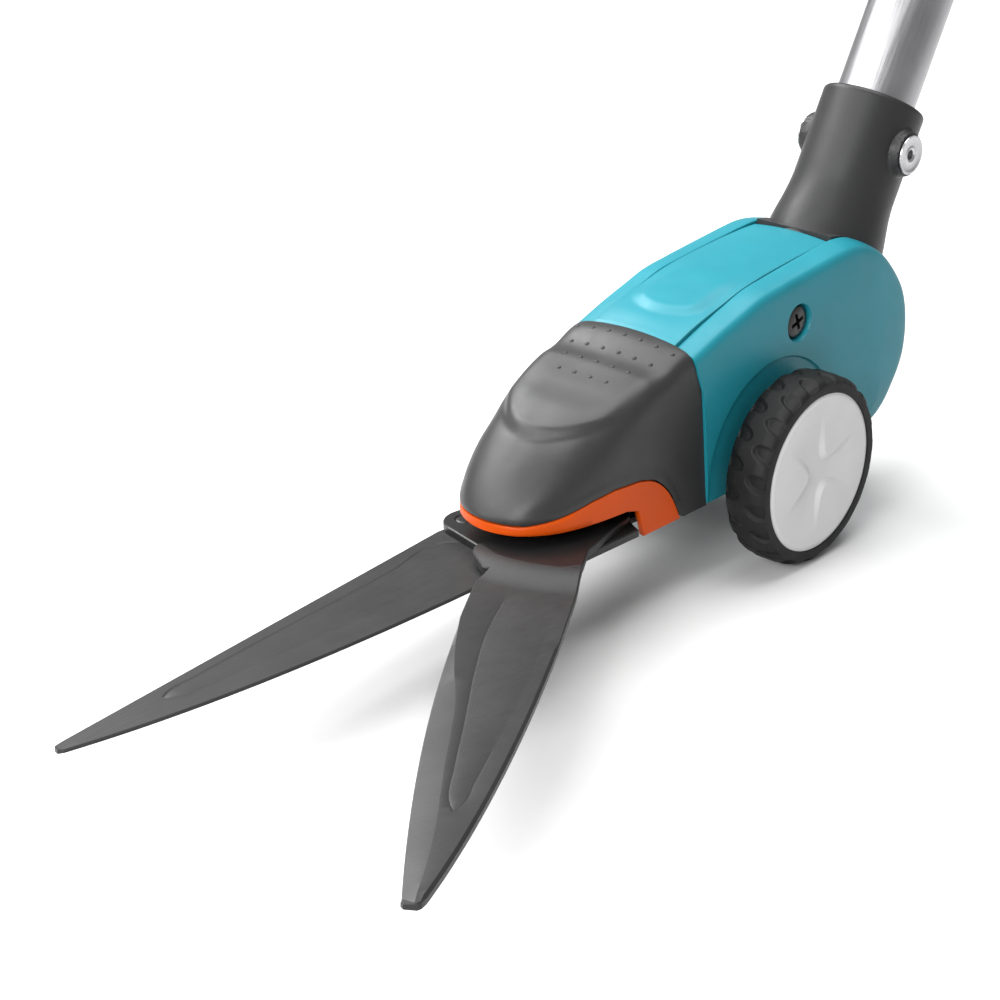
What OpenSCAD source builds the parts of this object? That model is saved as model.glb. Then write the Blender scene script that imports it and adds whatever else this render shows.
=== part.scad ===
// Long-handled grass shears on wheels: a cutting head with a fixed lower blade and a
// swinging upper blade, worked through a rod inside the tube by a squeeze lever at the top.
// Millimetres. +Z is up, the blades point to -Y, the tube leans back to +Y, and the
// origin is on the ground midway between the two wheels.

/* [Wheels] */
// Outer radius of the tyres
wheel_r = 29; // [28.5:0.5:29]
// Width of each tyre
tyre_w = 14.4; // [14:0.1:14.6]
// Distance from the middle plane to the outer face of a wheel
wheel_face_x = 40.6; // [40.6:0.1:41.4]
// Radius of the steel axle
axle_r = 4; // [3.5:0.1:4]

/* [Head] */
// Half width of the body between the wheels
body_half_w = 23.4; // [23:0.1:23.6]
// Half width of the top cover between its two seams
cover_half_w = 14; // [14:0.1:14.3]
// Wall thickness of the plastic shells
wall = 2.4; // [2:0.1:2.6]

/* [Blades] */
// Length of the fixed lower blade from the pivot
lower_len = 184; // [180:1:190]
// Length of the swinging upper blade from the pivot
upper_len = 205; // [198:1:208]
// Thickness of the blades and of the base plate
steel_t = 2.2; // [2:0.1:2.2]

/* [Tube and handle] */
// Outer radius of the tube socket
socket_r = 16.1; // [16:0.1:16.4]
// Half width of the handle
handle_half_w = 15; // [14.5:0.1:15.5]

/* [Hidden] */
$fn = 64;

gap = 0.15;                               // space between neighbouring plastic parts
fit = 0.06;                               // radial running clearance
sheet_gap = 0.1;                          // height between sliding steel sheets

lean = 30;                                // lean of the tube, back from vertical
tube_r = 12.5;
tube_wall = 1.2;
tube_foot = [25.9, wheel_r];              // where the tube's axis passes the axle's height
tube_s0 = 64;                             // ends of the tube along its axis
tube_s1 = 890;
mouth_s = 103.2;                          // mouth of the socket
rivet_s = 89.1;

rear_c = [35, 54];                        // centre of the round rear of the body, y and z
rear_r = 34;
body_z = 23;                              // lower edge of the body
low_z = 22.6;                             // underside of the lower blade
plate_z = low_z + steel_t + sheet_gap;    // underside of the base plate
root_z = plate_z + steel_t + sheet_gap;   // underside of the upper blade's root
nut_z = root_z + steel_t + sheet_gap + 0.8;
screw_c = [10.2, 68.8];                   // side screws, y and z
pivot = [6, -64];                         // blade pivot in plan
open_angle = 30.1;                        // the upper blade at rest, from straight ahead
lower_angle = -3.1;
tail_r = 16;                              // from the pivot to the upper blade's drive pin
tail_angle = (open_angle - lower_angle) / 2;
pin_r = 2.5;
slider_z = 34.5;                          // underside of the slider
slider_t = 4;

crank_k = 16;                             // arm that the rod pulls
crank_half = 16.5;                        // half of the crank's swing
crank_c = [21, 52.6];                     // crank pivot, y and z
crank_b = crank_c[1] - slider_z - slider_t / 2;
rod_s = 18 - crank_k * sin(crank_half);   // where the rod's lower slot stands at rest
rod_r = 3;
rod_top = 906;
lever_k = 33;                             // arm of the lever that pulls the rod
lever_half = 8;                           // half of the lever's swing
lever_c = [452.6, 834.1];                 // lever pivot, y and z
grip_dir = 25;                            // slope of the grip
grip_c = [469.2, 851.7];                  // start of the grip's centre line, y and z
grip_len = 138;

teal = [0.16, 0.60, 0.68];
dark = [0.22, 0.22, 0.23];
black = [0.06, 0.06, 0.065];
orange = [0.80, 0.30, 0.12];
coated = [0.33, 0.33, 0.34];
silver = [0.75, 0.75, 0.77];
pale = [0.80, 0.80, 0.81];

// ---- helpers ----

function arc(c, r, a0, a1, n) = [for (i = [0:n]) c + r * [cos(a0 + (a1 - a0) * i / n),
                                                          sin(a0 + (a1 - a0) * i / n)]];
function bez(p, n) = [for (i = [0:n]) let (t = i / n, u = 1 - t)
    u * u * u * p[0] + 3 * u * u * t * p[1] + 3 * u * t * t * p[2] + t * t * t * p[3]];
function reversed(v) = [for (i = [len(v) - 1:-1:0]) v[i]];
function spow(v, e) = sign(v) * pow(abs(v), e);

// An outline in y and z, made solid from x0 to x1
module side_plate(x0, x1) {
    translate([x0, 0, 0]) rotate([90, 0, 90]) linear_extrude(x1 - x0) children();
}

// A cylinder along X centred on y and z
module x_rod(c, r, x0, x1) {
    translate([x0, c[0], c[1]]) rotate([0, 90, 0]) cylinder(r = r, h = x1 - x0);
}

// Places its children in the tube's own frame: z runs up the tube, y is its rear side
module on_tube() {
    translate([0, tube_foot[0], tube_foot[1]]) rotate([-lean, 0, 0]) children();
}
function tube_yz(s, side) = [tube_foot[0] + s * sin(lean) + side * cos(lean),
                             tube_foot[1] + s * cos(lean) - side * sin(lean)];

// A closed skin through rings that have the same number of points
module loft(rings) {
    n = len(rings[0]);
    last = len(rings) - 1;
    skin = [for (j = [0:last - 1], i = [0:n - 1]) let (k = (i + 1) % n) each [
        [j * n + i, (j + 1) * n + i, (j + 1) * n + k],
        [j * n + i, (j + 1) * n + k, j * n + k]
    ]];
    polyhedron([for (r = rings) each r],
               concat([[for (i = [0:n - 1]) i]], skin, [[for (i = [n - 1:-1:0]) last * n + i]]));
}

module both_sides() {
    children();
    mirror([1, 0, 0]) children();
}

// ---- body shells ----

function top_z(y) = lookup(y, [[-41, 72.4], [-30, 75.8], [-20, 78.6], [-11, 80.8], [-2, 82.6],
                               [7, 84], [17, 85], [27, 85.6], [37, 85.6]]);

// Side view of the body, drawn in by d, as y and z
function body_outline(d) = concat(
    [[-31, rear_c[1] - (rear_r - d) * sin(114)], [-35, 60], [-41, 72 - d]],
    [for (y = [-30, -20, -11, -2, 7, 17]) [y, top_z(y) - 0.4 - d]],
    arc(rear_c, rear_r - d, 105, -114, 26));

module side_shell() {
    shoulder = [[cover_half_w, 0], [20.2, 0.2], [22.3, 1.2], [body_half_w, 3]];
    difference() {
        loft([for (s = shoulder) reversed([for (p = body_outline(s[1])) [s[0], p[0], p[1]]])]);
        side_plate(cover_half_w - 1, body_half_w - wall)
            polygon(concat([[-31, body_z + 3], [-32.5, 60], [-34, 68]],
                           [for (y = [-30, -11, 7, 17]) [y, top_z(y) - 3.6]],
                           arc(rear_c, rear_r - 3, 100, -114, 20)));
        side_plate(body_half_w - 0.8, body_half_w + 1)
            polygon(arc([0, wheel_r], wheel_r + 1.4, 0, 180, 60));
        side_plate(0, body_half_w + 1) polygon(concat([[-axle_r - 0.5, 0], [axle_r + 0.5, 0]],
            arc([0, wheel_r], axle_r + 0.5, 0, 180, 24)));
        x_rod(screw_c, 5.5, body_half_w - 3, body_half_w + 1);
        on_tube() cylinder(r = socket_r + 3.4, h = mouth_s);
    }
    difference() {
        x_rod(screw_c, 6.4, cover_half_w, body_half_w - wall);
        x_rod(screw_c, 5.5, body_half_w - 3, body_half_w + 1);
        x_rod(screw_c, 2.2, 0, body_half_w);
    }
}
module right_side_shell() { color(teal) side_shell(); }
module left_side_shell() { color(teal) mirror([1, 0, 0]) side_shell(); }

// Cross-section of the top cover at one y, lowered by d
function cover_line(y, d) = [for (i = [0:12]) let (x = (i / 6 - 1) * (cover_half_w - gap))
    [x, y, top_z(y) + 1.6 * (1 - pow(x / cover_half_w, 2)) - d]];

module top_cover() {
    color(teal) difference() {
        loft([for (y = [-41, -30, -20, -11, -2, 7, 17, 27, 37])
            concat(cover_line(y, 0), reversed(cover_line(y, wall)))]);
        on_tube() cylinder(r = socket_r + 1.2, h = mouth_s);
    }
}

module chassis() {
    block = concat([[-30, 24.2], [-30, root_z + 0.2], [-48, root_z + 0.2], [-48, 32.4],
                    [-37, 32.4], [-37, 68]],
                   [for (y = [-30, -20, -11, -2, 7, 17, 27, 37.3]) [y, top_z(y) - wall - 0.5]],
                   arc(rear_c, rear_r - 1.2, 85.6, -114, 24));
    room = [[-60, 33], [-20, 30], [50, 30], [60, 46], [58, 60], [48, 70], [0, 74], [-60, 60]];
    color(dark) difference() {
        union() {
            side_plate(-cover_half_w + gap, cover_half_w - gap) polygon(block);
            on_tube() {
                translate([0, 0, 40]) cylinder(r = socket_r, h = mouth_s - 41.5);
                translate([0, 0, mouth_s - 1.5]) cylinder(r1 = socket_r, r2 = 14.8, h = 1.5);
                translate([0, 0, 57]) cylinder(r1 = 18.4, r2 = socket_r, h = 14);
            }
            on_tube() translate([0, 0, rivet_s]) rotate([0, 90, 0])
                translate([0, 0, -18.2]) cylinder(r = 6.5, h = 36.4);
        }
        side_plate(-6.5, 6.5) polygon(room);
        on_tube() cylinder(r = 8, h = mouth_s);
        on_tube() translate([0, 0, tube_s0]) cylinder(r = tube_r + 0.03, h = mouth_s);
        on_tube() translate([0, 0, rivet_s]) rotate([0, 90, 0])
            translate([0, 0, -30]) cylinder(r = 2.43, h = 60);
        x_rod([0, wheel_r], axle_r + 0.03, -30, 30);
        x_rod(crank_c, 3.03, -12, 12);
        x_rod(screw_c, 1.93, 8, 20);
        x_rod(screw_c, 1.93, -20, -8);
        for (x = [-9.5, 9.5]) translate([x, -42.5, root_z - 1]) cylinder(r = 1.93, h = 8);
    }
}

// ---- nose ----

// Rows of the nose, each: y, half width, height of the crown, lean of the row, boxiness
nose_rows = [
    [-26, 22, 74.4, 10, 3.6], [-42, 22.2, 72.8, 7, 3.5], [-53, 22.3, 70.2, 4, 3.4],
    [-62, 22.2, 67, 2, 3.2], [-70, 21.9, 63.6, 0, 3], [-77, 21.2, 60, 0, 2.8],
    [-83, 20.1, 56.3, 0, 2.7], [-88, 18.6, 52.6, 0, 2.5], [-92, 16.7, 49.2, 0, 2.4],
    [-95.5, 14.3, 45.6, 0, 2.3], [-98.6, 11.2, 42, 0, 2.2], [-101.6, 5.2, 38, 0, 2.1]
];

// One row as a ring of points, its walls drawn in by d and its foot at height z0
function nose_ring(row, d, z0) = [for (i = [0:28]) let (
    a = 180 * i / 28,
    up = max(row[2] - d, z0 + 2) - z0,
    z = z0 + up * spow(sin(a), 2 / row[4]))
    [max(row[1] - d, 1) * spow(cos(a), 2 / row[4]),
     row[0] - row[3] * (z - body_z) / (72 - body_z), z]];

module nose_skin() {
    difference() {
        loft([for (r = nose_rows) nose_ring(r, 0, 12)]);
        loft(concat(
            [nose_ring([-20, 22, 74.0, 10, 3.6], wall, 11)],
            [for (i = [0:8]) nose_ring(nose_rows[i], wall, 11)],
            [nose_ring([-95.4, 13.4, 44.8, 0, 2.3], wall, 11)],
            [nose_ring([-98.4, 9.6, 41, 0, 2.2], wall, 11)]));
    }
}

// Lower edge of the dark nose cover in side view, from the tip to the body
nose_edge = concat([[-120, 35.6], [-99, 35.7], [-91, 37.4], [-80, 40.3], [-72, 41.4], [-61.8, 41],
                    [-57.3, 39.9]], bez([[-57.3, 39.9], [-50, 37.5], [-46, 31], [-42.6, body_z]], 8));

module nose_cover() {
    color(dark) difference() {
        nose_skin();
        side_plate(-30, 30) polygon(concat(nose_edge, [[-20, body_z], [-20, 0], [-120, 0]]));
        side_plate(-30, 30) polygon([[-31 - gap, 0], [-31 - gap, body_z], [-35 - gap, 60],
                                     [-41 - gap, 69.5], [-41 - gap, 90], [0, 90], [0, 0]]);
    }
}

// The coloured band along the nose's lower edge, with a foot on each side behind the blades
module nose_trim() {
    low = [[-62, 31.6], [-66.5, 32.9], [-80, 33], [-92, 32.8], [-120, 32.7]];
    color(orange) intersection() {
        nose_skin();
        side_plate(-30, 30) polygon(concat(
            [for (i = [0:len(nose_edge) - 2]) nose_edge[i] - [gap, gap]],
            [[-43, body_z], [-59.2, body_z], [-60.4, 27.5]], low));
    }
}

module side_screws() {
    color(black) both_sides() difference() {
        union() {
            x_rod(screw_c, 1.9, 8.4, 21);
            x_rod(screw_c, 4.7, body_half_w - 3, body_half_w - 0.8);
        }
        for (a = [0, 90]) translate([body_half_w - 2, screw_c[0], screw_c[1]]) rotate([a, 0, 0])
            translate([0, -2.6, -0.6]) cube([3, 5.2, 1.2]);
    }
}

// ---- blades ----

module sheet(z) {
    translate([0, 0, z]) linear_extrude(steel_t) children();
}

rivet_at = [[-17, -91], [-9, -76], [2, -86]];

module base_plate() {
    front = 38.5;
    color(black) difference() {
        sheet(plate_z) polygon(concat(
            [[-17, -36], [-17, -58], [-22.5, -71]],
            arc([-14.8, -90.4], 8.2, 165, 262, 14),
            arc(pivot, front, -105, -66, 8),
            [[23.6, -92], [24, -63.5], [17, -60], [17, -36]]));
        translate([pivot[0], pivot[1], plate_z - 1]) cylinder(r = 4.03, h = steel_t + 2);
        for (x = [-9.5, 9.5]) translate([x, -42.5, plate_z - 1]) cylinder(r = 2, h = 5);
        for (p = rivet_at) translate([p[0], p[1], plate_z - 1]) cylinder(r = 2, h = 5);
    }
}

module plate_screws() {
    color(black) for (x = [-9.5, 9.5]) translate([x, -42.5, 0]) {
        translate([0, 0, plate_z - 2]) cylinder(r = 3.6, h = 2);
        translate([0, 0, plate_z - 1]) cylinder(r = 1.9, h = 8);
    }
}

module blade_rivets() {
    color(black) for (p = rivet_at) translate([p[0], p[1], 0]) {
        translate([0, 0, low_z - 0.6]) cylinder(r = 1.96, h = 2 * steel_t + 0.7);
    }
}

module lower_blade() {
    color(coated) difference() {
        translate([pivot[0], pivot[1], 0]) rotate([0, 0, lower_angle])
            sheet(low_z) polygon(concat(
                [[-23.5, -18], [-9, -8]], arc([0, 0], 11, 140, -20, 12), [[7, -14]],
                bez([[7, -22], [11.5, -80], [12.5, -140], [4.2, -lower_len + 1]], 16),
                [[2.8, -lower_len], [0.8, -lower_len + 0.6], [0.2, -lower_len + 3],
                 [-24.5, -36]]));
        translate([pivot[0], pivot[1], low_z - 1]) cylinder(r = 4.03, h = 5);
        for (p = rivet_at) translate([p[0], p[1], low_z - 1]) cylinder(r = 2, h = 5);
    }
}

// Outline of the upper blade beyond its shank, pointing to -Y from the pivot
module upper_outline() {
    polygon(concat(
        [[-22.6, -44]], bez([[-21.6, -50], [-20.6, -90], [-16.5, -140], [-1.7, -upper_len + 2]], 16),
        [[-0.6, -upper_len], [0.7, -upper_len + 0.6]],
        bez([[1.4, -upper_len + 3], [8.4, -160], [9, -90], [5.6, -41]], 16)));
}

module upper_blade() {
    tail = tail_r * [-cos(open_angle - tail_angle), -sin(open_angle - tail_angle)];
    color(coated) translate([pivot[0], pivot[1], 0]) difference() {
        union() {
            rotate([0, 0, open_angle]) {
                sheet(plate_z) difference() {
                    upper_outline();
                    circle(r = 42.5);
                }
                sheet(root_z) intersection() {
                    polygon(concat([[-20.6, -60], [-20.6, -44], [-25.6, -36.5], [-25.6, -33],
                                    [-12, -6]],
                                   arc([0, 0], 12.5, 150, 10, 12), [[5.2, -30], [6.6, -60]]));
                    circle(r = 45.5);
                }
                translate([0, 0, plate_z + 1])
                    linear_extrude(root_z - plate_z) intersection() {
                        upper_outline();
                        difference() {
                            circle(r = 45.5);
                            circle(r = 42.5);
                        }
                    }
            }
            sheet(root_z) polygon(concat(arc([0, 0], 11, 60, 130, 6),
                                         arc(tail, 5, 110, 300, 10), [[-4, -9]]));
            translate([tail[0], tail[1], root_z]) cylinder(r = pin_r, h = slider_z + 3.4 - root_z);
        }
        translate([0, 0, root_z - 4]) cylinder(r = 4 + fit, h = 8);
    }
}

module pivot_bolt() {
    color(black) translate([pivot[0], pivot[1], 0]) difference() {
        union() {
            translate([0, 0, low_z - 2]) cylinder(r = 8, h = 2);
            translate([0, 0, low_z - 1]) cylinder(r = 4, h = root_z + 3.6 - low_z + 1);
        }
        translate([0, 0, low_z - 3]) cylinder(r = 2.5, h = 2.2, $fn = 6);
    }
}

module pivot_nut() {
    color(silver) translate([pivot[0], pivot[1], 0]) difference() {
        translate([0, 0, nut_z]) cylinder(r = 6.2, h = 1.2, $fn = 6);
        translate([0, 0, root_z]) cylinder(r = 4.03, h = 8);
    }
}

module pivot_washer() {
    color(silver) translate([pivot[0], pivot[1], nut_z - 0.8]) difference() {
        cylinder(r = 7, h = 0.78);
        translate([0, 0, -1]) cylinder(r = 4.03, h = 3);
    }
}

// ---- drive ----

module drive_slider() {
    px = pivot[0] + tail_r * -cos(open_angle - tail_angle) - 0.35;
    py = pivot[1] + tail_r * -sin(open_angle - tail_angle);
    cy = crank_c[0] - crank_b * sin(crank_half);
    color(silver) difference() {
        union() {
            translate([-4, py, slider_z]) cube([8, cy - 2 - py, slider_t]);
            translate([px - 7, py - 6, slider_z]) cube([11 - px, 12, slider_t]);
            translate([-5.6, cy - 5, 31]) cube([11.2, 10, 10.5]);
        }
        for (x = [-1, 1]) translate([px + x * 1.1, py, slider_z - 1])
            cylinder(r = pin_r + 0.25, h = slider_t + 2);
        translate([px - 1.1, py - pin_r - 0.25, slider_z - 1])
            cube([2.2, 2 * pin_r + 0.5, slider_t + 2]);
        translate([-2.9, cy - 6.5, 30]) cube([5.8, 13, 15]);
        translate([-7, cy - pin_r - 0.15, 33.5]) cube([14, 2 * pin_r + 0.3, 9]);
    }
}

// Outline of one arm of the crank from its pivot to p
module crank_arm(p) {
    n = [-p[1], p[0]] / norm(p);
    polygon([n * 5.4, p + n * 4.4, p - n * 4.4, n * -5.4]);
    translate(p) circle(r = 4.4);
}

module bell_crank() {
    a = crank_k * [cos(-lean - crank_half), sin(-lean - crank_half)];
    b = crank_b * [-sin(crank_half), -cos(crank_half)];
    color(silver) difference() {
        union() {
            side_plate(-2.5, 2.5) translate(crank_c) {
                circle(r = 6);
                crank_arm(a);
                crank_arm(b);
            }
            x_rod(crank_c, 6, -5.6, 5.6);
            x_rod(crank_c + b, pin_r, -5.4, 5.4);
        }
        x_rod(crank_c, 3 + fit, -8, 8);
        x_rod(crank_c + a, pin_r + 0.01, -8, 8);
    }
}

module crank_pin() {
    color(silver) x_rod(crank_c, 3, -12, 12);
}

module clevis_pin() {
    a = crank_k * [cos(-lean - crank_half), sin(-lean - crank_half)];
    color(silver) x_rod(crank_c + a, pin_r, -5.6, 5.6);
}

module pull_rod() {
    color(silver) on_tube() difference() {
        union() {
            translate([0, 0, rod_s + 14]) cylinder(r = rod_r, h = rod_top - 12 - rod_s - 14);
            translate([0, 0, 838]) cylinder(r = 8.6, h = 3);
            translate([-2.6, -6, rod_top - 14]) cube([5.2, 12, 22]);
        }
        translate([-5, -pin_r - 0.8, rod_top - pin_r - 0.15]) cube([10, 2 * pin_r + 1.4,
                                                                 2 * pin_r + 0.3]);
    }
}

module rod_clevis() {
    color(silver) on_tube() difference() {
        translate([-5.4, -6, rod_s - 6]) cube([10.8, 12, 28]);
        translate([-2.8, -8, rod_s - 8]) cube([5.6, 16, 19]);
        translate([-8, -pin_r - 1, rod_s - pin_r - 0.15]) cube([16, 2 * pin_r + 1.3,
                                                              2 * pin_r + 0.3]);
        translate([0, 0, rod_s + 14]) cylinder(r = rod_r + 0.01, h = 20);
    }
}

// ---- wheels ----

module spun(x_mirror) {
    mirror([x_mirror, 0, 0]) translate([0, 0, wheel_r]) rotate([0, 90, 0])
        rotate_extrude($fn = 96) children();
}

module wheel_axle() {
    color(silver) difference() {
        x_rod([0, wheel_r], axle_r, -37.2, 37.2);
        for (x = [-35.6, 34.6]) translate([x, 0, wheel_r]) rotate([0, 90, 0]) difference() {
            cylinder(r = 6, h = 1);
            translate([0, 0, -1]) cylinder(r = axle_r - 0.8, h = 3);
        }
    }
}

module axle_washers() {
    color(silver) both_sides() spun(0)
        translate([axle_r + 0.03, body_half_w + 0.1]) square([3.4, 2]);
}

module axle_clips() {
    color(silver) both_sides() spun(0) translate([axle_r - 0.78, 34.65]) square([3.4, 0.9]);
}

// Half section of the tyre, as distance from the axle and distance from the middle plane
module tyre_shape() {
    x1 = wheel_face_x;
    x0 = wheel_face_x - tyre_w;
    polygon([[20.8, x0 + 1], [26.6, x0], [28.2, x0 + 1.2], [wheel_r, x0 + 4],
             [wheel_r, x1 - 4], [28.2, x1 - 1.2], [26.6, x1 - 0.2], [24.2, x1 - 0.2],
             [24.2, x1 - 2.4], [20.8, x1 - 2.4]]);
}
module right_tyre() { color(black) spun(0) tyre_shape(); }
module left_tyre() { color(black) spun(1) tyre_shape(); }

module hub_shape() {
    x0 = wheel_face_x - tyre_w;
    b = axle_r + fit;
    polygon([[b, x0 - 0.4], [7.5, x0 - 0.4], [7.5, 30], [18.4, 30], [18.4, x0 + 1],
             [20.8, x0 + 1], [20.8, wheel_face_x - 2.4], [18.4, wheel_face_x - 2.4],
             [18.4, 33], [7.5, 33], [7.5, 34.4], [b, 34.4]]);
}
module right_hub() { color(pale) spun(0) hub_shape(); }
module left_hub() { color(pale) spun(1) hub_shape(); }

module hub_cap() {
    difference() {
        spun(0) polygon([[0, wheel_face_x - 2], [23.9, wheel_face_x - 2.3], [23.9, wheel_face_x - 0.9],
                         [23, wheel_face_x - 0.3], [15, wheel_face_x], [0, wheel_face_x]]);
        for (i = [0:4]) translate([wheel_face_x - 0.6, 0, wheel_r]) rotate([72 * i, 0, 0])
            translate([0, 0, 13]) rotate([0, 90, 0]) cylinder(r = 5.6, h = 2);
    }
}
module right_hub_cap() { color(pale) hub_cap(); }
module left_hub_cap() { color(pale) mirror([1, 0, 0]) hub_cap(); }

// ---- tube ----

module main_tube() {
    color(silver) on_tube() difference() {
        translate([0, 0, tube_s0]) cylinder(r = tube_r, h = tube_s1 - tube_s0);
        translate([0, 0, tube_s0 - 1]) cylinder(r = tube_r - tube_wall, h = tube_s1);
        translate([0, 0, rivet_s]) rotate([0, 90, 0]) translate([0, 0, -30])
            cylinder(r = 2.43, h = 60);
    }
}

module socket_rivets() {
    color(silver) both_sides() on_tube() translate([0, 0, rivet_s]) rotate([0, 90, 0])
        difference() {
            union() {
                translate([0, 0, 10]) cylinder(r = 2.4, h = 9);
                translate([0, 0, 18.2]) cylinder(r1 = 6, r2 = 4.8, h = 1.4);
            }
            translate([0, 0, 16]) cylinder(r = 1.6, h = 5);
        }
}

module spring_plug() {
    color(dark) on_tube() translate([0, 0, 876]) difference() {
        cylinder(r = tube_r - tube_wall - 0.02, h = 13);
        translate([0, 0, -1]) cylinder(r = rod_r + 0.5, h = 15);
    }
}

// Coil spring between the rod's collar and the plug at the top of the tube
module return_spring() {
    turns = 7;
    steps = 14;
    wire = 0.8;
    coil = 7;
    s0 = 842;
    rise = 33;
    rings = [for (i = [0:turns * steps]) let (a = 360 * i / steps)
        [for (k = [0:5]) let (b = 60 * k) [(coil + wire * cos(b)) * cos(a),
            (coil + wire * cos(b)) * sin(a), s0 + rise * i / (turns * steps) + wire * sin(b)]]];
    color(silver) on_tube() loft([for (r = rings) reversed(r)]);
}

// ---- handle ----

function on_grip(t, up) = grip_c + [t * cos(grip_dir) - up * sin(grip_dir),
                                    t * sin(grip_dir) + up * cos(grip_dir)];

module handle_outline() {
    polygon(concat(
        [tube_yz(848, 16.6), tube_yz(893, 16.6), [499, 803], [505, 812], [506, 846],
         [513, 855.6]],
        [on_grip(60, -16.4), on_grip(100, -15)],
        arc(on_grip(grip_len, 0), 15, grip_dir - 90, grip_dir + 90, 12),
        [on_grip(14, 15)],
        arc(lever_c, 17, 95, 215, 10),
        [tube_yz(880, -16.6), tube_yz(848, -16.6)]));
}

// Space inside the handle for the lever, the rod's end and the lock
module handle_room() {
    polygon(concat(
        [tube_yz(890.5, 11), tube_yz(897, 14), [497, 808], [520, 808], [520, 852], [508, 852]],
        [on_grip(30, -9), on_grip(12, 9)],
        arc(lever_c, 13, 85, 215, 8),
        [tube_yz(890.5, -11)]));
}

screw_at = [on_grip(56, 0), on_grip(112, 0)];

module handle_half() {
    difference() {
        union() {
            side_plate(gap / 2, handle_half_w - 3) handle_outline();
            side_plate(handle_half_w - 4, handle_half_w) polygon(concat(
                [tube_yz(850, 14), tube_yz(893, 14), [496, 805], [502, 813], [503, 847],
                 [511, 857.8]],
                arc(on_grip(grip_len, 0), 12, grip_dir - 90, grip_dir + 90, 12),
                [on_grip(14, 12)], arc(lever_c, 14, 95, 215, 10),
                [tube_yz(880, -14), tube_yz(850, -14)]));
        }
        side_plate(-1, 9.4) handle_room();
        on_tube() translate([0, 0, 840]) cylinder(r = tube_r + 0.03, h = 50.5);
        x_rod(lever_c, 3.03, 0, 12.6);
        for (p = screw_at) {
            x_rod(p, 1.6, -1, 20);
            x_rod(p, 3.2, handle_half_w - 2.6, 20);
        }
        side_plate(-1, 2.3) polygon([on_grip(0.6, 6), on_grip(14.8, 6), on_grip(14.8, 24),
                                     on_grip(0.6, 24)]);
        side_plate(-1, 3.1) polygon([on_grip(grip_len - 10, -6), on_grip(grip_len + 20, -6),
                                     on_grip(grip_len + 20, 6), on_grip(grip_len - 10, 6)]);
    }
}
module right_handle_half() { color(teal) handle_half(); }
module left_handle_half() { color(dark) mirror([1, 0, 0]) handle_half(); }

module handle_screws() {
    color(black) for (p = screw_at) difference() {
        union() {
            x_rod(p, 1.57, -12, handle_half_w - 1);
            x_rod(p, 3, handle_half_w - 2.58, handle_half_w - 0.8);
        }
        for (a = [0, 90]) translate([handle_half_w - 1.4, p[0], p[1]]) rotate([a, 0, 0])
            translate([0, -1.9, -0.4]) cube([3, 3.8, 0.8]);
    }
}

// Soft strip along the back of the grip
module grip_pad() {
    color(dark) side_plate(-9, 9) polygon([
        on_grip(34, 15.02), on_grip(36, 17.2), on_grip(60, 18), on_grip(100, 18),
        on_grip(124, 17.2), on_grip(127, 15.02)]);
}

module squeeze_lever() {
    a = lever_k * [cos(-lean - lever_half), sin(-lean - lever_half)];
    color(orange) difference() {
        union() {
            side_plate(-7.2, 7.2) translate(lever_c) {
                circle(r = 9);
                polygon([[0, 9], [30, -9], [64, -9.5], [66, -22], [34, -27], [18, -27],
                         [-6, -7]]);
                translate(a) circle(r = 7.5);
            }
            side_plate(-10, 10) translate(lever_c)
                polygon(concat([[56, -9.4]], bez([[64, -9.5], [90, -8], [120, -10], [146, 1]], 8),
                               arc([146, -5.5], 6.5, 90, -80, 8),
                               bez([[146, -12.2], [118, -23], [90, -21], [56, -23]], 8)));
        }
        side_plate(-3.1, 3.1) translate(lever_c)
            polygon([[-12, 12], [6, 12], [44, -8], [44, -30], [10, -30], [-12, -12]]);
        x_rod(lever_c, 3 + fit, -20, 20);
        x_rod(lever_c + a, pin_r + 0.01, -20, 20);
    }
}

module lever_pin() {
    color(silver) x_rod(lever_c, 3, -12.4, 12.4);
}

module link_pin() {
    a = lever_k * [cos(-lean - lever_half), sin(-lean - lever_half)];
    color(silver) x_rod(lever_c + a, pin_r, -7, 7);
}

// Thumb slide on top of the handle that holds the blades shut; its tongue runs in a slot
module lock_slide() {
    color(orange) {
        side_plate(-2, 2) polygon([on_grip(2, 10.6), on_grip(8, 10.6), on_grip(8, 15.5),
                                   on_grip(2, 15.5)]);
        side_plate(-6, 6) polygon(concat(
            [on_grip(-3, 15.2), on_grip(13, 15.2), on_grip(13, 16.6)],
            [on_grip(10, 19), on_grip(5, 17.6), on_grip(0, 19)], [on_grip(-3, 16.6)]));
    }
}

module hanging_eye() {
    c = on_grip(grip_len + 22, 0);
    color(black) difference() {
        union() {
            x_rod(c, 9, -3, 3);
            side_plate(-3, 3) polygon([on_grip(grip_len - 9.8, -5.8), on_grip(grip_len + 16, -5.8),
                                       on_grip(grip_len + 22, -8), on_grip(grip_len + 22, 8),
                                       on_grip(grip_len + 16, 5.8), on_grip(grip_len - 9.8, 5.8)]);
        }
        x_rod(c, 4.5, -4, 4);
    }
}

chassis();
right_side_shell();
left_side_shell();
top_cover();
nose_cover();
nose_trim();
side_screws();
base_plate();
plate_screws();
lower_blade();
blade_rivets();
pivot_washer();
upper_blade();
pivot_bolt();
pivot_nut();
drive_slider();
bell_crank();
crank_pin();
clevis_pin();
pull_rod();
rod_clevis();
wheel_axle();
axle_washers();
axle_clips();
right_tyre();
right_hub();
right_hub_cap();
left_tyre();
left_hub();
left_hub_cap();
main_tube();
socket_rivets();
spring_plug();
return_spring();
right_handle_half();
left_handle_half();
grip_pad();
squeeze_lever();
lever_pin();
link_pin();
lock_slide();
handle_screws();
hanging_eye();
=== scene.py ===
from math import asin, atan2, cos, dist, hypot, pi, radians, sin

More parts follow.
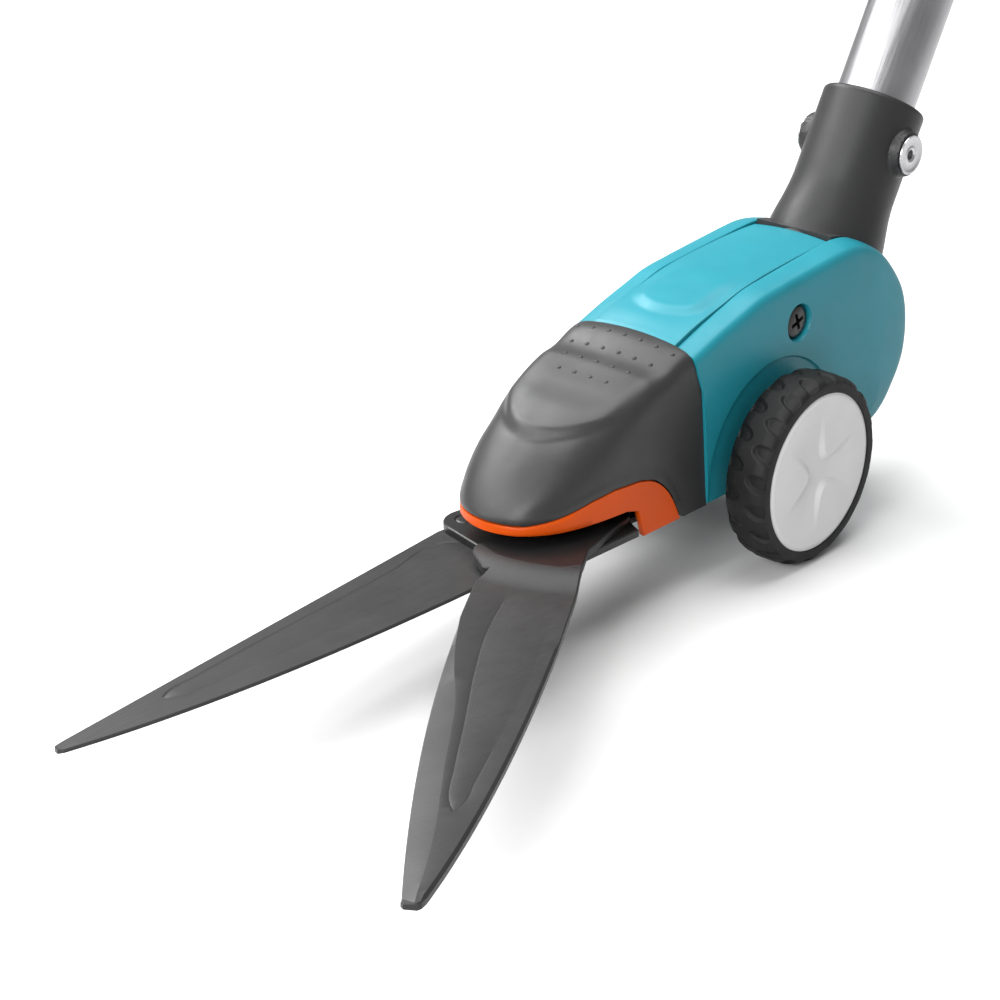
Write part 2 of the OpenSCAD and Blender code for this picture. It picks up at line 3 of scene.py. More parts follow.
import bmesh
import bpy
import numpy as np
from mathutils import Matrix, Vector
from mathutils.geometry import delaunay_2d_cdt


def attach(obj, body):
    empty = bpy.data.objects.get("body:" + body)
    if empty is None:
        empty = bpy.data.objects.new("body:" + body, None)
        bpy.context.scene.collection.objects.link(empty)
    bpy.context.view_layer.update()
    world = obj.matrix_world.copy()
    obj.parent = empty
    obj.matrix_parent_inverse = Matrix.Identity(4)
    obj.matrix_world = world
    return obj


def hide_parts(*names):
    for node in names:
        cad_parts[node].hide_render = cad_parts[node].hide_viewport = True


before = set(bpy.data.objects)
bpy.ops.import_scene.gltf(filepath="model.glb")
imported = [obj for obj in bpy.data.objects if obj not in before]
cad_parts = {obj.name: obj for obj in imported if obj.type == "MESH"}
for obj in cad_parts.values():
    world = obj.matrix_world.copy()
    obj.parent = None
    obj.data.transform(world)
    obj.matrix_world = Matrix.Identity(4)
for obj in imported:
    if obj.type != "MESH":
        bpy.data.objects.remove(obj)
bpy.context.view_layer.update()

# Every shape below is drawn in millimetres, in the frame's own axes, and scaled once.
MM = 0.001

# ---- numbers shared with the solid model ----

WHEEL_R = 29.0  # also the height of the axle
FACE_X = 40.6  # outer face of the right wheel
TYRE_W = 14.4
WALL = 2.2  # thickness of the moulded covers
LEAN = radians(30)  # the tube, from upright
TUBE_FOOT = (25.9, 29.0)  # y and z where the tube's own length starts
TUBE_R, TUBE_END = 12.5, 890
RIVET_S = 89.1  # the socket's rivets, along the tube
BOSS_X = 18.42  # face of the socket's boss
PIVOT = (6.0, -64.0)
PIVOT_HOLE_R, RIVET_HOLE_R = 4.06, 2.05
OPEN = radians(30.1)  # upper blade at rest
LOWER = radians(-3.1)
LOW_Z, PLATE_Z, ROOT_Z, STEEL = 22.6, 24.9, 27.2, 2.2
PEG_ARM, PEG_TOP = 16, 37.9  # drive peg: from the pivot, and its height
GRIP_C = (469.2, 851.7)
GRIP = radians(25)
GRIP_LEN = 138.0
GRIP_R = 15
LEVER_C = (452.6, 834.1)
SCREW = (10.2, 68.8)  # y and z of the side screws

# ---- maths ----

STRAIGHT = 0.2  # corners that turn less than this, in radians, stay as they are


def smoothstep(t):
    t = np.clip(t, 0, 1)
    return t * t * (3 - 2 * t)


def track(table, x):
    """A smooth curve through rows of (x, value)."""
    xs, vs = np.array(sorted(table), float).T
    slope = np.gradient(vs, xs)
    x = np.asarray(x, float)
    i = np.clip(np.searchsorted(xs, x) - 1, 0, len(xs) - 2)
    h = xs[i + 1] - xs[i]
    t = np.clip((x - xs[i]) / h, 0, 1)
    return (
        vs[i] * (2 * t**3 - 3 * t**2 + 1)
        + vs[i + 1] * (3 * t**2 - 2 * t**3)
        + h * slope[i] * (t**3 - 2 * t**2 + t)
        + h * slope[i + 1] * (t**3 - t**2)
    )


def lookup(table, x):
    """Straight lines through rows of (x, value), in rising x."""
    return np.interp(x, *np.array(table).T)


def resample(line, fractions):
    """Points at fractions of a polyline's length."""
    line = np.asarray(line, float)
    steps = np.linalg.norm(np.diff(line, axis=0), axis=1)
    along = np.concatenate([[0], np.cumsum(steps)])
    at = np.asarray(fractions) * along[-1]
    return np.column_stack([np.interp(at, along, line[:, k]) for k in range(line.shape[1])])


def flowing(points, step):
    """An open smooth curve through the points, in steps of that length."""
    p = np.asarray(points, float)
    along = np.concatenate([[0], np.cumsum(np.linalg.norm(np.diff(p, axis=0), axis=1))])
    at = np.linspace(0, along[-1], max(4, int(along[-1] / step)))
    return np.column_stack([track(list(zip(along, p[:, k])), at) for k in range(p.shape[1])])


def arc(c, r, a0, a1, n):
    """Points round c from one angle in degrees to another."""
    return [(c[0] + r * cos(a), c[1] + r * sin(a)) for a in map(radians, np.linspace(a0, a1, n + 1))]


def bez(p, n):
    """A cubic curve with four control points."""
    p = np.array(p, float)
    t = np.linspace(0, 1, n + 1)[:, None]
    u = 1 - t
    return [tuple(q) for q in u**3 * p[0] + 3 * u * u * t * p[1] + 3 * u * t * t * p[2] + t**3 * p[3]]


def ring(c, r, n=40):
    """A closed circle of n points."""
    return arc(c, r, 0, 360 * (n - 1) / n, n - 1)


def cross_dot(a, b):
    return a[0] * b[1] - a[1] * b[0], a[0] * b[0] + a[1] * b[1]


def soften(outline, radius, n=6):
    """The closed outline with its corners rounded."""
    p = np.array(outline, float)
    out = []
    for i in range(len(p)):
        a, b, c = p[i - 1], p[i], p[(i + 1) % len(p)]
        la, lc = np.linalg.norm(a - b), np.linalg.norm(c - b)
        if abs(atan2(*cross_dot(b - a, c - b))) < STRAIGHT:
            out.append(b)
            continue
        ra, rc = min(radius, 0.45 * la), min(radius, 0.45 * lc)
        q0, q2 = b + (a - b) * ra / la, b + (c - b) * rc / lc
        for t in np.linspace(0, 1, n + 1):
            out.append((1 - t) ** 2 * q0 + 2 * t * (1 - t) * b + t * t * q2)
    return np.array(out)


def inward(loop, d):
    """The closed loop moved inwards by d."""
    p = np.array(loop, float)
    nxt, prv = np.roll(p, -1, 0), np.roll(p, 1, 0)
    area = np.sum(p[:, 0] * nxt[:, 1] - nxt[:, 0] * p[:, 1])
    e0, e1 = p - prv, nxt - p
    e0 /= np.linalg.norm(e0, axis=1)[:, None] + 1e-12
    e1 /= np.linalg.norm(e1, axis=1)[:, None] + 1e-12
    n = np.column_stack([-(e0[:, 1] + e1[:, 1]), e0[:, 0] + e1[:, 0]])
    n *= np.sign(area)
    n /= np.maximum(1 + np.sum(e0 * e1, axis=1), 0.4)[:, None]
    return p + d * n


def distance(points, line, closed=False):
    """Distance of each point from a polyline."""
    p, q = np.atleast_2d(points), np.array(line, float)
    if closed:
        q = np.vstack([q, q[:1]])
    best = np.full(len(p), 1e9)
    for a, b in zip(q[:-1], q[1:]):
        ab = b - a
        t = np.clip(((p - a) @ ab) / max(ab @ ab, 1e-12), 0, 1)
        best = np.minimum(best, np.linalg.norm(p - (a + t[:, None] * ab), axis=1))
    return best


def inside(p, loop):
    x, y = p
    hit = False
    for (x0, y0), (x1, y1) in zip(loop, np.roll(np.array(loop), -1, 0)):
        if (y0 > y) != (y1 > y) and x < (x1 - x0) * (y - y0) / (y1 - y0) + x0:
            hit = not hit
    return hit


# ---- places: from a shape's own axes to the frame ----


def tube_place(u, v, s):
    """s along the tube, u across it along X, v across it towards the rear."""
    return (
        u,
        TUBE_FOOT[0] + s * sin(LEAN) + v * cos(LEAN),
        TUBE_FOOT[1] + s * cos(LEAN) - v * sin(LEAN),
    )


def tube_yz(s, side):
    return tube_place(0, side, s)[1:]


def on_grip(t, up):
    """y and z of a point t along the grip and up from its middle line."""
    return (
        GRIP_C[0] + t * cos(GRIP) - up * sin(GRIP),
        GRIP_C[1] + t * sin(GRIP) + up * cos(GRIP),
    )


def turned(p, a):
    c, s = cos(a), sin(a)
    return p[0] * c - p[1] * s, p[0] * s + p[1] * c


def x_place(side, y=0.0, z=0.0):
    """Shapes spun about a line along X, on the right (1) or left (-1)."""
    return lambda u, v, h: (side * h, y + u, z + v)


def z_place(x=0.0, y=0.0, turn=0.0):
    """Shapes drawn flat, turned and moved over the ground."""
    c, s = cos(turn), sin(turn)
    return lambda u, v, h: (x + u * c - v * s, y + u * s + v * c, h)


# ---- making meshes ----


WELD = 2e-6  # metres: points closer than this are one


def placed(obj):
    bpy.context.scene.collection.objects.link(obj)
    return obj


def face_outward(mesh, weld=None):
    """Turns every face outwards, after joining points closer than weld."""
    bm = bmesh.new()
    bm.from_mesh(mesh)
    if weld:
        bmesh.ops.remove_doubles(bm, verts=bm.verts, dist=weld)
    bmesh.ops.recalc_face_normals(bm, faces=bm.faces)
    bm.to_mesh(mesh)
    bm.free()


def solid(name, points, faces):
    mesh = bpy.data.meshes.new(name)
    mesh.from_pydata([tuple(MM * float(c) for c in p) for p in points], [], faces)
    face_outward(mesh, WELD)
    return placed(bpy.data.objects.new(name, mesh))


def loft(name, rings, around=True, caps=True, loop=False):
    """A skin through rings of equally many points."""
    n, m = len(rings[0]), len(rings)
    faces = []
    for j in range(m if loop else m - 1):
        a, b = j * n, (j + 1) % m * n
        for i in range(n if around else n - 1):
            k = (i + 1) % n
            faces.append((a + i, a + k, b + k, b + i))
    if caps and not loop:
        faces += [tuple(range(n))[::-1], tuple((m - 1) * n + i for i in range(n))]
    return solid(name, [p for r in rings for p in r], faces)


def turns(steps):
    return [2 * pi * k / steps for k in range(steps)]


def lathe(name, profile, place, steps=96, closed=False):
    """Spins rows of (radius, height); an open profile starts and ends on the axis."""
    rings = [[place(r * cos(a), r * sin(a), h) for r, h in profile] for a in turns(steps)]
    return loft(name, rings, around=closed, loop=True)


def prism(name, outline, x0, x1):
    """An outline in y and z, straight through from x0 to x1."""
    return loft(name, [[(x, p[0], p[1]) for p in outline] for x in (x0, x1)])


def pillow(name, outline, section):
    """An outline in y and z, through rows of (x, how far its edge is drawn in)."""
    return loft(name, [[(x, p[0], p[1]) for p in inward(outline, d)] for x, d in section])


def rounded_section(x, r, n=4):
    """Rows from -x to x with both edges rounded."""
    edge = [(x - r + r * sin(a), r - r * cos(a)) for a in np.linspace(0, pi / 2, n + 1)]
    return [(-u, d) for u, d in reversed(edge)] + edge


def plate(name, loops, lines, top, bottom, place):
    """A sheet within loops (outline, then holes), creased along lines, closed all round."""
    points, edges = [], []
    for line, closed in [(q, True) for q in loops] + lines:
        start, n = len(points), len(line)
        points += [Vector((float(p[0]), float(p[1]))) for p in line]
        edges += [(start + i, start + (i + 1) % n) for i in range(n if closed else n - 1)]
    co, _, tris, *_ = delaunay_2d_cdt(points, edges, [], 1, 1e-4)
    flat = np.array([(p.x, p.y) for p in co])
    kept = []
    for t in tris:
        c = flat[list(t)].mean(0)
        if inside(c, loops[0]) and not any(inside(c, hole) for hole in loops[1:]):
            kept.append(tuple(t))
    hi, lo, n = top(flat), bottom(flat), len(flat)
    verts = [place(*p, h) for p, h in zip(flat, hi)] + [place(*p, h) for p, h in zip(flat, lo)]
    sides = dict.fromkeys((a, b) for t in kept for a, b in zip(t, t[1:] + t[:1]))
    walls = [(b, a, a + n, b + n) for a, b in sides if (b, a) not in sides]
    faces = kept + [tuple(i + n for i in t[::-1]) for t in kept] + walls
    used = sorted({i for f in faces for i in f})
    new = {old: k for k, old in enumerate(used)}
    return solid(name, [verts[i] for i in used], [tuple(new[i] for i in f) for f in faces])


def settle(obj):
    """Applies the object's modifiers."""
    bpy.context.view_layer.update()
    got = obj.evaluated_get(bpy.context.evaluated_depsgraph_get())
    mesh = bpy.data.meshes.new_from_object(got)
    old = obj.data
    obj.modifiers.clear()
    obj.data = mesh
    bpy.data.meshes.remove(old)
    return obj


def combine(obj, *tools, how="DIFFERENCE"):
    """Cuts the tools from the object, or joins them on."""
    for tool in tools:
        mod = obj.modifiers.new("combine", "BOOLEAN")
        mod.operation, mod.object, mod.solver = how, tool, "EXACT"
        settle(obj)
        bpy.data.objects.remove(tool)
    return obj


def bevelled(obj, width, segments=3, angle=35):
    mod = obj.modifiers.new("bevel", "BEVEL")
    mod.width, mod.segments = width * MM, segments
    mod.limit_method, mod.angle_limit = "ANGLE", radians(angle)
    return settle(obj)


def mirrored(obj, name):
    other = placed(bpy.data.objects.new(name, obj.data.copy()))
    other.data.transform(Matrix.Scale(-1, 4, (1, 0, 0)))
    other.data.flip_normals()
    return other


def joined(name, parts):
    """One object made of the parts, which are used up."""
    bm = bmesh.new()
    for part in parts:
        bm.from_mesh(part.data)
        bpy.data.objects.remove(part)
    mesh = bpy.data.meshes.new(name)
    bm.to_mesh(mesh)
    bm.free()
    return placed(bpy.data.objects.new(name, mesh))


def present(obj, material, slot, body, *nodes, sharp=32):
    """Finishes a piece: shading, material, the body it rides on and the nodes it stands for."""
    mesh = obj.data
    mesh.polygons.foreach_set("use_smooth", [True] * len(mesh.polygons))
    mesh.set_sharp_from_angle(angle=radians(sharp))
    if not mesh.materials:
        mesh.materials.append(material)
    else:
        mesh.materials[0] = material
    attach(obj, body)
    if nodes:
        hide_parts(*nodes)


def present_both(right, material, slot, body, node, sharp):
    """Presents a right-hand piece, and its mirror image on the left."""
    left = mirrored(right, right.name.replace("right", "left"))
    present(right, material, slot, body, node, sharp=sharp)
    present(left, material, slot, *(n.replace("right", "left") for n in (body, node)), sharp=sharp)


# ---- materials ----


class Nodes:
    """Short calls for building one material's nodes."""

    def __init__(self, name):
        self.material = bpy.data.materials.new(name)
        self.material.use_nodes = True
        self.tree = self.material.node_tree
        self.shader = self.tree.nodes["Principled BSDF"]
        self.place = self.add("ShaderNodeTexCoord").outputs["Object"]

    def add(self, kind, **inputs):
        node = self.tree.nodes.new(kind)
        for key, value in inputs.items():
            node.inputs[key].default_value = value
        return node

    def link(self, a, b):
        self.tree.links.new(a, b)

    def noise(self, scale, detail=3.0, roughness=0.55, stretch=None, turn=0.0):
        node = self.add("ShaderNodeTexNoise", Scale=scale, Detail=detail, Roughness=roughness)
        source = self.place
        if stretch:
            aim = self.add("ShaderNodeMapping", Rotation=(turn, 0, 0))
            size = self.add("ShaderNodeMapping", Scale=stretch)
            self.link(source, aim.inputs["Vector"])
            self.link(aim.outputs[0], size.inputs["Vector"])
            source = size.outputs[0]
        self.link(source, node.inputs["Vector"])
        return node.outputs["Fac"]

    def spread(self, value, low, high, start=0.3, end=0.7):
        node = self.add("ShaderNodeMapRange")
        for key, v in zip(("From Min", "From Max", "To Min", "To Max"), (start, end, low, high)):
            node.inputs[key].default_value = v
        self.link(value, node.inputs["Value"])
        return node.outputs["Result"]

    def tint(self, value, dark, light, start=0.3, end=0.7):
        ramp = self.add("ShaderNodeValToRGB")
        ramp.color_ramp.elements[0].position, ramp.color_ramp.elements[1].position = start, end
        ramp.color_ramp.elements[0].color = (*dark, 1)
        ramp.color_ramp.elements[1].color = (*light, 1)
        self.link(value, ramp.inputs["Fac"])
        return ramp.outputs["Color"]

    def bump(self, *layers):
        """Layers of (value, depth in millimetres), each on the one before."""
        normal = None
        for value, depth in layers:
            node = self.add("ShaderNodeBump", Strength=1.0, Distance=depth * MM)
            self.link(value, node.inputs["Height"])
            if normal:
                self.link(normal, node.inputs["Normal"])
            normal = node.outputs["Normal"]
        self.link(normal, self.shader.inputs["Normal"])


def grey(v, blue=None):
    return v, v, blue or v


def shade(colour, k):
    return tuple(min(1, c * k) for c in colour)


def moulded(name, colour, rough, grain=0.012, grain_size=0.45, shine=0.4, scuffs=0.06):
    """Moulded plastic: spark-eroded grain, slow flow marks and faint handling scuffs."""
    n = Nodes(name)
    flow, rub = n.noise(38, 2), n.noise(160, 6, 0.7)
    n.link(n.tint(flow, shade(colour, 0.94), shade(colour, 1.05)), n.shader.inputs["Base Color"])
    fine = n.noise(1 / (grain_size * MM), 2)
    n.link(n.spread(rub, rough - scuffs, rough + scuffs), n.shader.inputs["Roughness"])
    n.bump((flow, 0.02), (fine, grain))
    n.shader.inputs["Specular IOR Level"].default_value = shine
    return n.material


def metal(name, dark, light, rough, metallic=1.0, stretch=(1, 1, 1), turn=0.0, depth=0.003, size=0.5,
          coat=0.0):
    """Metal with fine marks, drawn out along one direction where it was drawn or ground."""
    n = Nodes(name)
    marks = n.noise(1 / (size * MM), 4, 0.6, stretch, turn)
    stain = n.noise(60, 5, 0.6)
    n.link(n.tint(stain, dark, light, 0.35, 0.65), n.shader.inputs["Base Color"])
    n.link(n.spread(marks, rough - 0.06, rough + 0.08), n.shader.inputs["Roughness"])
    n.shader.inputs["Metallic"].default_value = metallic
    n.shader.inputs["Specular IOR Level"].default_value = 0.28
    n.shader.inputs["Coat Weight"].default_value = coat
    n.shader.inputs["Coat Roughness"].default_value = 0.15
    n.bump((marks, depth))
    return n.material


def rubber(name, colour, rough, size=0.35, depth=0.02):
    """Rubber: a dusty bloom over a fine matt grain."""
    n = Nodes(name)
    bloom = n.noise(90, 6, 0.7)
    fine = n.noise(1 / (size * MM), 3, 0.7)
    dusty = n.tint(bloom, shade(colour, 0.8), shade(colour, 1.35), 0.35, 0.75)
    n.link(dusty, n.shader.inputs["Base Color"])
    n.link(n.spread(bloom, rough - 0.08, rough + 0.1), n.shader.inputs["Roughness"])
    n.shader.inputs["Specular IOR Level"].default_value = 0.25
    n.bump((fine, depth))
    return n.material


teal = moulded("teal_plastic", (0.010, 0.168, 0.212), 0.38, shine=0.22)
dark = moulded("dark_plastic", grey(0.0215, 0.022), 0.40, grain=0.02, shine=0.30)
sleeve_dark = moulded("sleeve_plastic", grey(0.0185, 0.019), 0.42, grain=0.03, shine=0.26)
orange = moulded("orange_plastic", (0.460, 0.056, 0.002), 0.40, shine=0.15)
pale = moulded("pale_plastic", grey(0.5), 0.46, scuffs=0.05, shine=0.2)
tyre_rubber = rubber("tyre_rubber", grey(0.005), 0.60)
soft = rubber("soft_grip", grey(0.019, 0.02), 0.68, 0.5, 0.03)
coated = metal("blade_coating", grey(0.015), grey(0.019), 0.44, metallic=0.05,
               stretch=(1, 0.12, 1), depth=0.0015, size=0.7)
ground = metal("blade_ground", grey(0.031, 0.032), grey(0.04, 0.041), 0.40, metallic=0.12,
               stretch=(0.1, 1, 1), depth=0.002)
black = metal("black_steel", grey(0.006), grey(0.009), 0.34, metallic=0.0,
              depth=0.001, size=0.8, coat=0.1)
zinc = metal("zinc_steel", grey(0.33, 0.34), grey(0.43, 0.44), 0.28)
rivet_metal = metal("rivet_metal", grey(0.38, 0.39), grey(0.5, 0.51), 0.26, depth=0.01, size=1.2)
aluminium = metal("tube_aluminium", grey(0.34, 0.35), grey(0.39, 0.4), 0.32,
                  stretch=(1, 1, 0.03), turn=LEAN, depth=0.001, size=0.6)

# ---- body: two side shells and the cover between them ----

CROWN = [(-38.5, 74.1), (-27, 77.9), (-17, 80.3), (-8.5, 82.4), (2, 84), (12, 85), (22, 85.8),
    (34, 86.3), (41, 86)]
SHELL_TOP = [(-38.6, 71.9), (-25.8, 76.3), (-16.7, 79), (-8.8, 81.3), (2.1, 82.8), (11.9, 83.9),
    (21.8, 84.9), (30, 85.7), (37, 86.1), (45, 85.0), (54.4, 80.6), (62.4, 73.3), (68.6, 64.6),
    (71.4, 53.4), (70.2, 41.4), (64.6, 32.2), (56.2, 25.9), (45, 23.1), (30, 22.95),
    (0, 22.95), (-30.7, 22.95)]
FRONT_EDGE = [(22.95, -30.7), (41.4, -32.6), (59.8, -34.6), (64.6, -36.7), (71.9, -38.6)]  # z, y
SEAM_X = 14.0  # the shells' inner edge before it follows the cover
SHELL_SECTION = [(None, 3.0), (14.1, 3.0), (14.1, 0.3), (14.3, 0.05), (14.8, 0), (16.4, 0.2), (18, 0.45),
    (19.5, 0.75), (20.6, 1.05), (21.2, 1.3), (21.7, 1.65), (22.05, 2.1), (22.3, 2.6),
    (22.5, 3.25), (22.65, 4.1), (22.8, 5.4), (23, 9), (23.2, 13), (23.3, 16), (23.3, 17)]


def tube_room(r):
    """What the tube's socket takes out of the shells and the cover."""
    return lathe("socket", [(0, 30), (r, 30), (r, 110), (0, 110)], tube_place)


def seam_x(y):
    """Half width of the top cover."""
    return np.interp(y, [-38.5, 36], [15.3, 14.0])


def side_shell(name):
    """The right shell: its side outline drawn in by the section's rows of (x, how far)."""
    chain = flowing(SHELL_TOP, 1.1)
    run = np.gradient(chain, axis=0)
    run /= np.linalg.norm(run, axis=1)[:, None]
    normal = np.column_stack([run[:, 1], -run[:, 0]])
    weight = 0.3 + 0.7 * smoothstep((chain[:, 1] - 23) / 12)
    front_steps = np.linspace(0, 1, 26)[1:-1]

    def outline(x, d):
        line = chain + (d * weight)[:, None] * normal
        top, low = chain[0, 1] - 0.97 * d, chain[-1, 1] + 0.3 * d
        line[0] = (lookup(FRONT_EDGE, top), top)
        line[-1] = (lookup(FRONT_EDGE, low), low)
        zs = low + (top - low) * front_steps
        line = np.vstack([line, np.column_stack([lookup(FRONT_EDGE, zs), zs])])
        if x is None:
            return [(SEAM_X, y, z) for y, z in line]
        shift = (seam_x(line[:, 0]) - SEAM_X) * np.clip((18 - x) / 4, 0, 1)
        return [(x + s, y, z) for s, (y, z) in zip(shift, line)]

    shell = loft(name, [outline(x, d) for x, d in SHELL_SECTION])
    well = lathe("well", [(0, 22.5), (30.6, 22.5), (30.9, 22.7), (31.4, 23.6), (31.4, 25), (0, 25)],
                 x_place(1, 0, WHEEL_R), 128)
    screw_hole = lathe("hole", [(0, 20.4), (5.5, 20.4), (5.5, 22.6), (5.8, 23), (6.5, 25), (0, 25)],
                       x_place(1, *SCREW), 64)
    axle_slot = prism("slot", [(-4.5, 10), (4.5, 10)] + arc((0, WHEEL_R), 4.5, 0, 180, 24), 5, 40)
    return combine(shell, well, screw_hole, axle_slot, tube_room(18.9))


present_both(side_shell("right_shell"), teal, "teal_plastic", "head", "right_side_shell", 26)


def cover_z(x, y):
    """Top of the cover: a shallow crown with a raised pad that starts in a rounded lip."""
    lip = -28.5 + 0.038 * x**2
    pad = 1.0 * smoothstep((y - lip + 2) / 4) * (1 - smoothstep((np.abs(x) - 8.5) / 5))
    pad = pad * (1 - smoothstep((y + 22) / 30))
    crest = 0.35 * np.exp(-(((y + 33) / 4) ** 2)) * (1 - (x / 17) ** 2)
    return track(CROWN, y) - 0.005 * x * x + pad + crest


def top_cover(name):
    rows, n = np.linspace(-38.35, 36.9, 120), 41
    rings = []
    for j, y in enumerate(rows):
        half = seam_x(y) - 0.15
        drop = 0.25 if j in (0, len(rows) - 1) else 0.0
        xs = np.concatenate([[-half, -half + 0.08], np.linspace(-half + 0.3, half - 0.3, n),
                             [half - 0.08, half]])
        zs = cover_z(xs, y) - drop
        zs[[0, -1]] -= 0.3
        zs[[1, -2]] -= 0.09
        top = [(x, y, z) for x, z in zip(xs, zs)]
        under = [(x, y, cover_z(x, y) - WALL) for x in np.linspace(half, -half, 21)]
        rings.append(top + under)
    return combine(loft(name, rings), tube_room(17.4))


present(top_cover("top_cover_skin"), teal, "teal_plastic", "head", "top_cover", sharp=40)

# ---- nose ----

# Along y: half width, crown height, the power that shapes a cross-section, and the pad's height. Then the
# back edge's lean by z, and the lines where cover and band meet and where the band ends.
NOSE_Y0, NOSE_Y1 = -38.5, -102.2
NOSE_LEN = NOSE_Y0 - NOSE_Y1
NOSE_HALF = 22.3
NOSE_W = [(-38.5, 22.3), (-60, 22.4), (-70, 22.0), (-77, 21.3), (-83, 20.2), (-88, 18.7), (-92, 16.8),
    (-95.5, 14.4), (-98.6, 11.3), (-100.7, 7.6), (-101.8, 4.0), (-102.2, 0)]
NOSE_TOP = [(-38.5, 74.1), (-47, 71.35), (-56, 68.0), (-65, 64.2), (-75, 60.2), (-80, 57.7), (-86, 54.2),
    (-90, 51), (-94, 47.3), (-97.3, 43.8), (-99.8, 40.6), (-101.4, 38), (-102.2, 36)]
NOSE_POWER = [(-102.2, 2.2), (-92, 2.5), (-84, 3.0), (-76, 3.8), (-68, 6), (-56, 9), (-38.5, 13)]
NOSE_PAD = [(-102, 2.4), (-84, 2.4), (-80, 1.9), (-75, 1.5), (-65, 0.8), (-56, 0.25), (-48, 0), (-38.5, 0)]
NOSE_LEAN = [(23.5, 7.9), (41.4, 6), (59.8, 3.9), (64.6, 1.9), (71, 0)]
NOSE_Z0 = 36.0  # below this height the walls are upright
NOSE_EDGE = [(-120, 35.6), (-99, 35.7), (-91, 37.4), (-80, 40.3), (-72, 41.4), (-61.8, 41)] + bez(
    [(-57.3, 39.9), (-50, 37.5), (-46, 31), (-42.6, 23)], 8)
TRIM_LOW = [(-120, 32.7), (-92, 32.8), (-80, 33.0), (-66.5, 32.9), (-62, 31.6), (-60.4, 27.5),
    (-59.2, 23), (-43, 23)]
BAND_WALL = 2.1
RISE_STEPS = 400  # points on the curve of a cross-section before it is thinned out
WALL_STEPS = 60
SIDE_POINTS, ROOF_POINTS = 30, 34


def roundness(y):
    """Falls from 1 at the back of the nose to 0 at its tip, evenly round the tip's curve."""
    s = np.clip((NOSE_Y0 - np.asarray(y, float)) / NOSE_LEN, 0, 1)
    return np.sqrt(1 - s * s)


def by_roundness(table, y):
    """A smooth curve through rows of (y, value), upright at the tip."""
    return track([(float(roundness(a)), b) for a, b in table], roundness(y))


def nose_top(x, y):
    """Height of the nose's upper surface."""
    width = np.maximum(by_roundness(NOSE_W, y), 0.01)
    power = track(NOSE_POWER, y)
    crown = by_roundness(NOSE_TOP, y)
    rise = (1 - np.clip(np.abs(x) / width, 0, 1) ** power) ** (1 / power)
    return NOSE_Z0 + (crown - NOSE_Z0) * rise + nose_extra(x, y, 1.0)


def nose_extra(x, y, up):
    """What the raised pad and the cross crown add; up is 1 on top and 0 on the walls."""
    out = np.abs(x)
    lip = -84.5 + 13.5 * (out / 18.5) ** 2.2
    pad = track(NOSE_PAD, y) * smoothstep((y - lip + 1.5) / 3.2) * (1 - smoothstep((out - 16.5) / 5))
    crown = -0.005 * x * x * smoothstep((y + 62) / 20)
    return (pad + crown) * up


def nose_row(t, thin):
    """One cross-section as points from the right lower edge over the top to the left.

    t runs from the back (0) to the tip (1); thin is how far inside the outer skin the row lies.
    """
    y = NOSE_Y0 - (NOSE_LEN - thin) * sin(t * pi / 2)
    yq = NOSE_Y0 - NOSE_LEN * sin(t * pi / 2)
    width = float(by_roundness(NOSE_W, yq)) * (1 - thin / NOSE_HALF)
    crown = float(by_roundness(NOSE_TOP, yq)) - thin
    power = float(track(NOSE_POWER, yq))
    height = max(crown - NOSE_Z0, 0.4)
    phi = np.linspace(0, pi / 2, RISE_STEPS)
    rho = (np.cos(phi) ** power + np.sin(phi) ** power) ** (-1 / power)
    x = width * rho * np.cos(phi)
    z = NOSE_Z0 + height * rho * np.sin(phi)
    up = smoothstep((phi - 0.55) / 0.35)
    z = z + nose_extra(x, np.full_like(x, yq), up)
    wall = np.linspace(12, NOSE_Z0, WALL_STEPS)[:-1]
    x = np.concatenate([np.full(len(wall), width), x])
    z = np.concatenate([wall, z])
    fade = smoothstep(1 - (NOSE_Y0 - y) / 16)
    ys = y + fade * lookup(NOSE_LEAN, z)
    edge = lookup(NOSE_EDGE, ys)
    if thin == 0:
        x = x + 0.3 * np.exp(-(((z - edge - 1.2) / 1.3) ** 2)) * min(1, width / 8)
    above = z >= edge + (0.3 if thin else 0.0)
    if above.sum() < 6:
        above[-6:] = True
    line = np.column_stack([x, ys, z])[int(np.argmax(above)) :]
    corner = max(2, len(line) - RISE_STEPS // 2)
    side = resample(line[: corner + 1], np.sin(np.linspace(0, 1, SIDE_POINTS) * pi / 2))
    roof = resample(line[corner:], 1 - np.cos(np.linspace(0, 1, ROOF_POINTS) * pi / 2))
    half = np.vstack([side, roof[1:]])
    half[-1, 0] = 0
    return np.vstack([half, half[::-1][1:] * (-1, 1, 1)])


def nose_cover(name):
    """An outer and an inner skin, joined along the lower edge and the back."""
    ts = np.linspace(0, 1, 96)
    outer = [nose_row(t, 0.0) for t in ts]
    inner = [nose_row(t, WALL) for t in ts]
    for rows in (outer, inner):
        rows[0][:, 1] -= 0.15
        rows[-1][:, 0] = 0
    n, m = len(outer[0]), len(outer)
    points = [p for row in outer + inner for p in row]
    faces = []
    for j in range(m - 1):
        for i in range(n - 1):
            a = j * n + i
            faces.append((a, a + 1, a + n + 1, a + n))
            a += m * n
            faces.append((a + n, a + n + 1, a + 1, a))
        for i in (0, n - 1):
            a, b = j * n + i, m * n + j * n + i
            faces.append((a, a + n, b + n, b))
    faces += [(i + 1, i, m * n + i, m * n + i + 1) for i in range(n - 1)]
    return solid(name, points, faces)


present(nose_cover("nose_skin"), dark, "dark_plastic", "head", "nose_cover", sharp=40)


DOT = [(0, -0.6), (0.75, -0.6), (0.72, -0.1), (0.6, 0.1), (0.45, 0.22), (0.25, 0.3), (0, 0.32)]


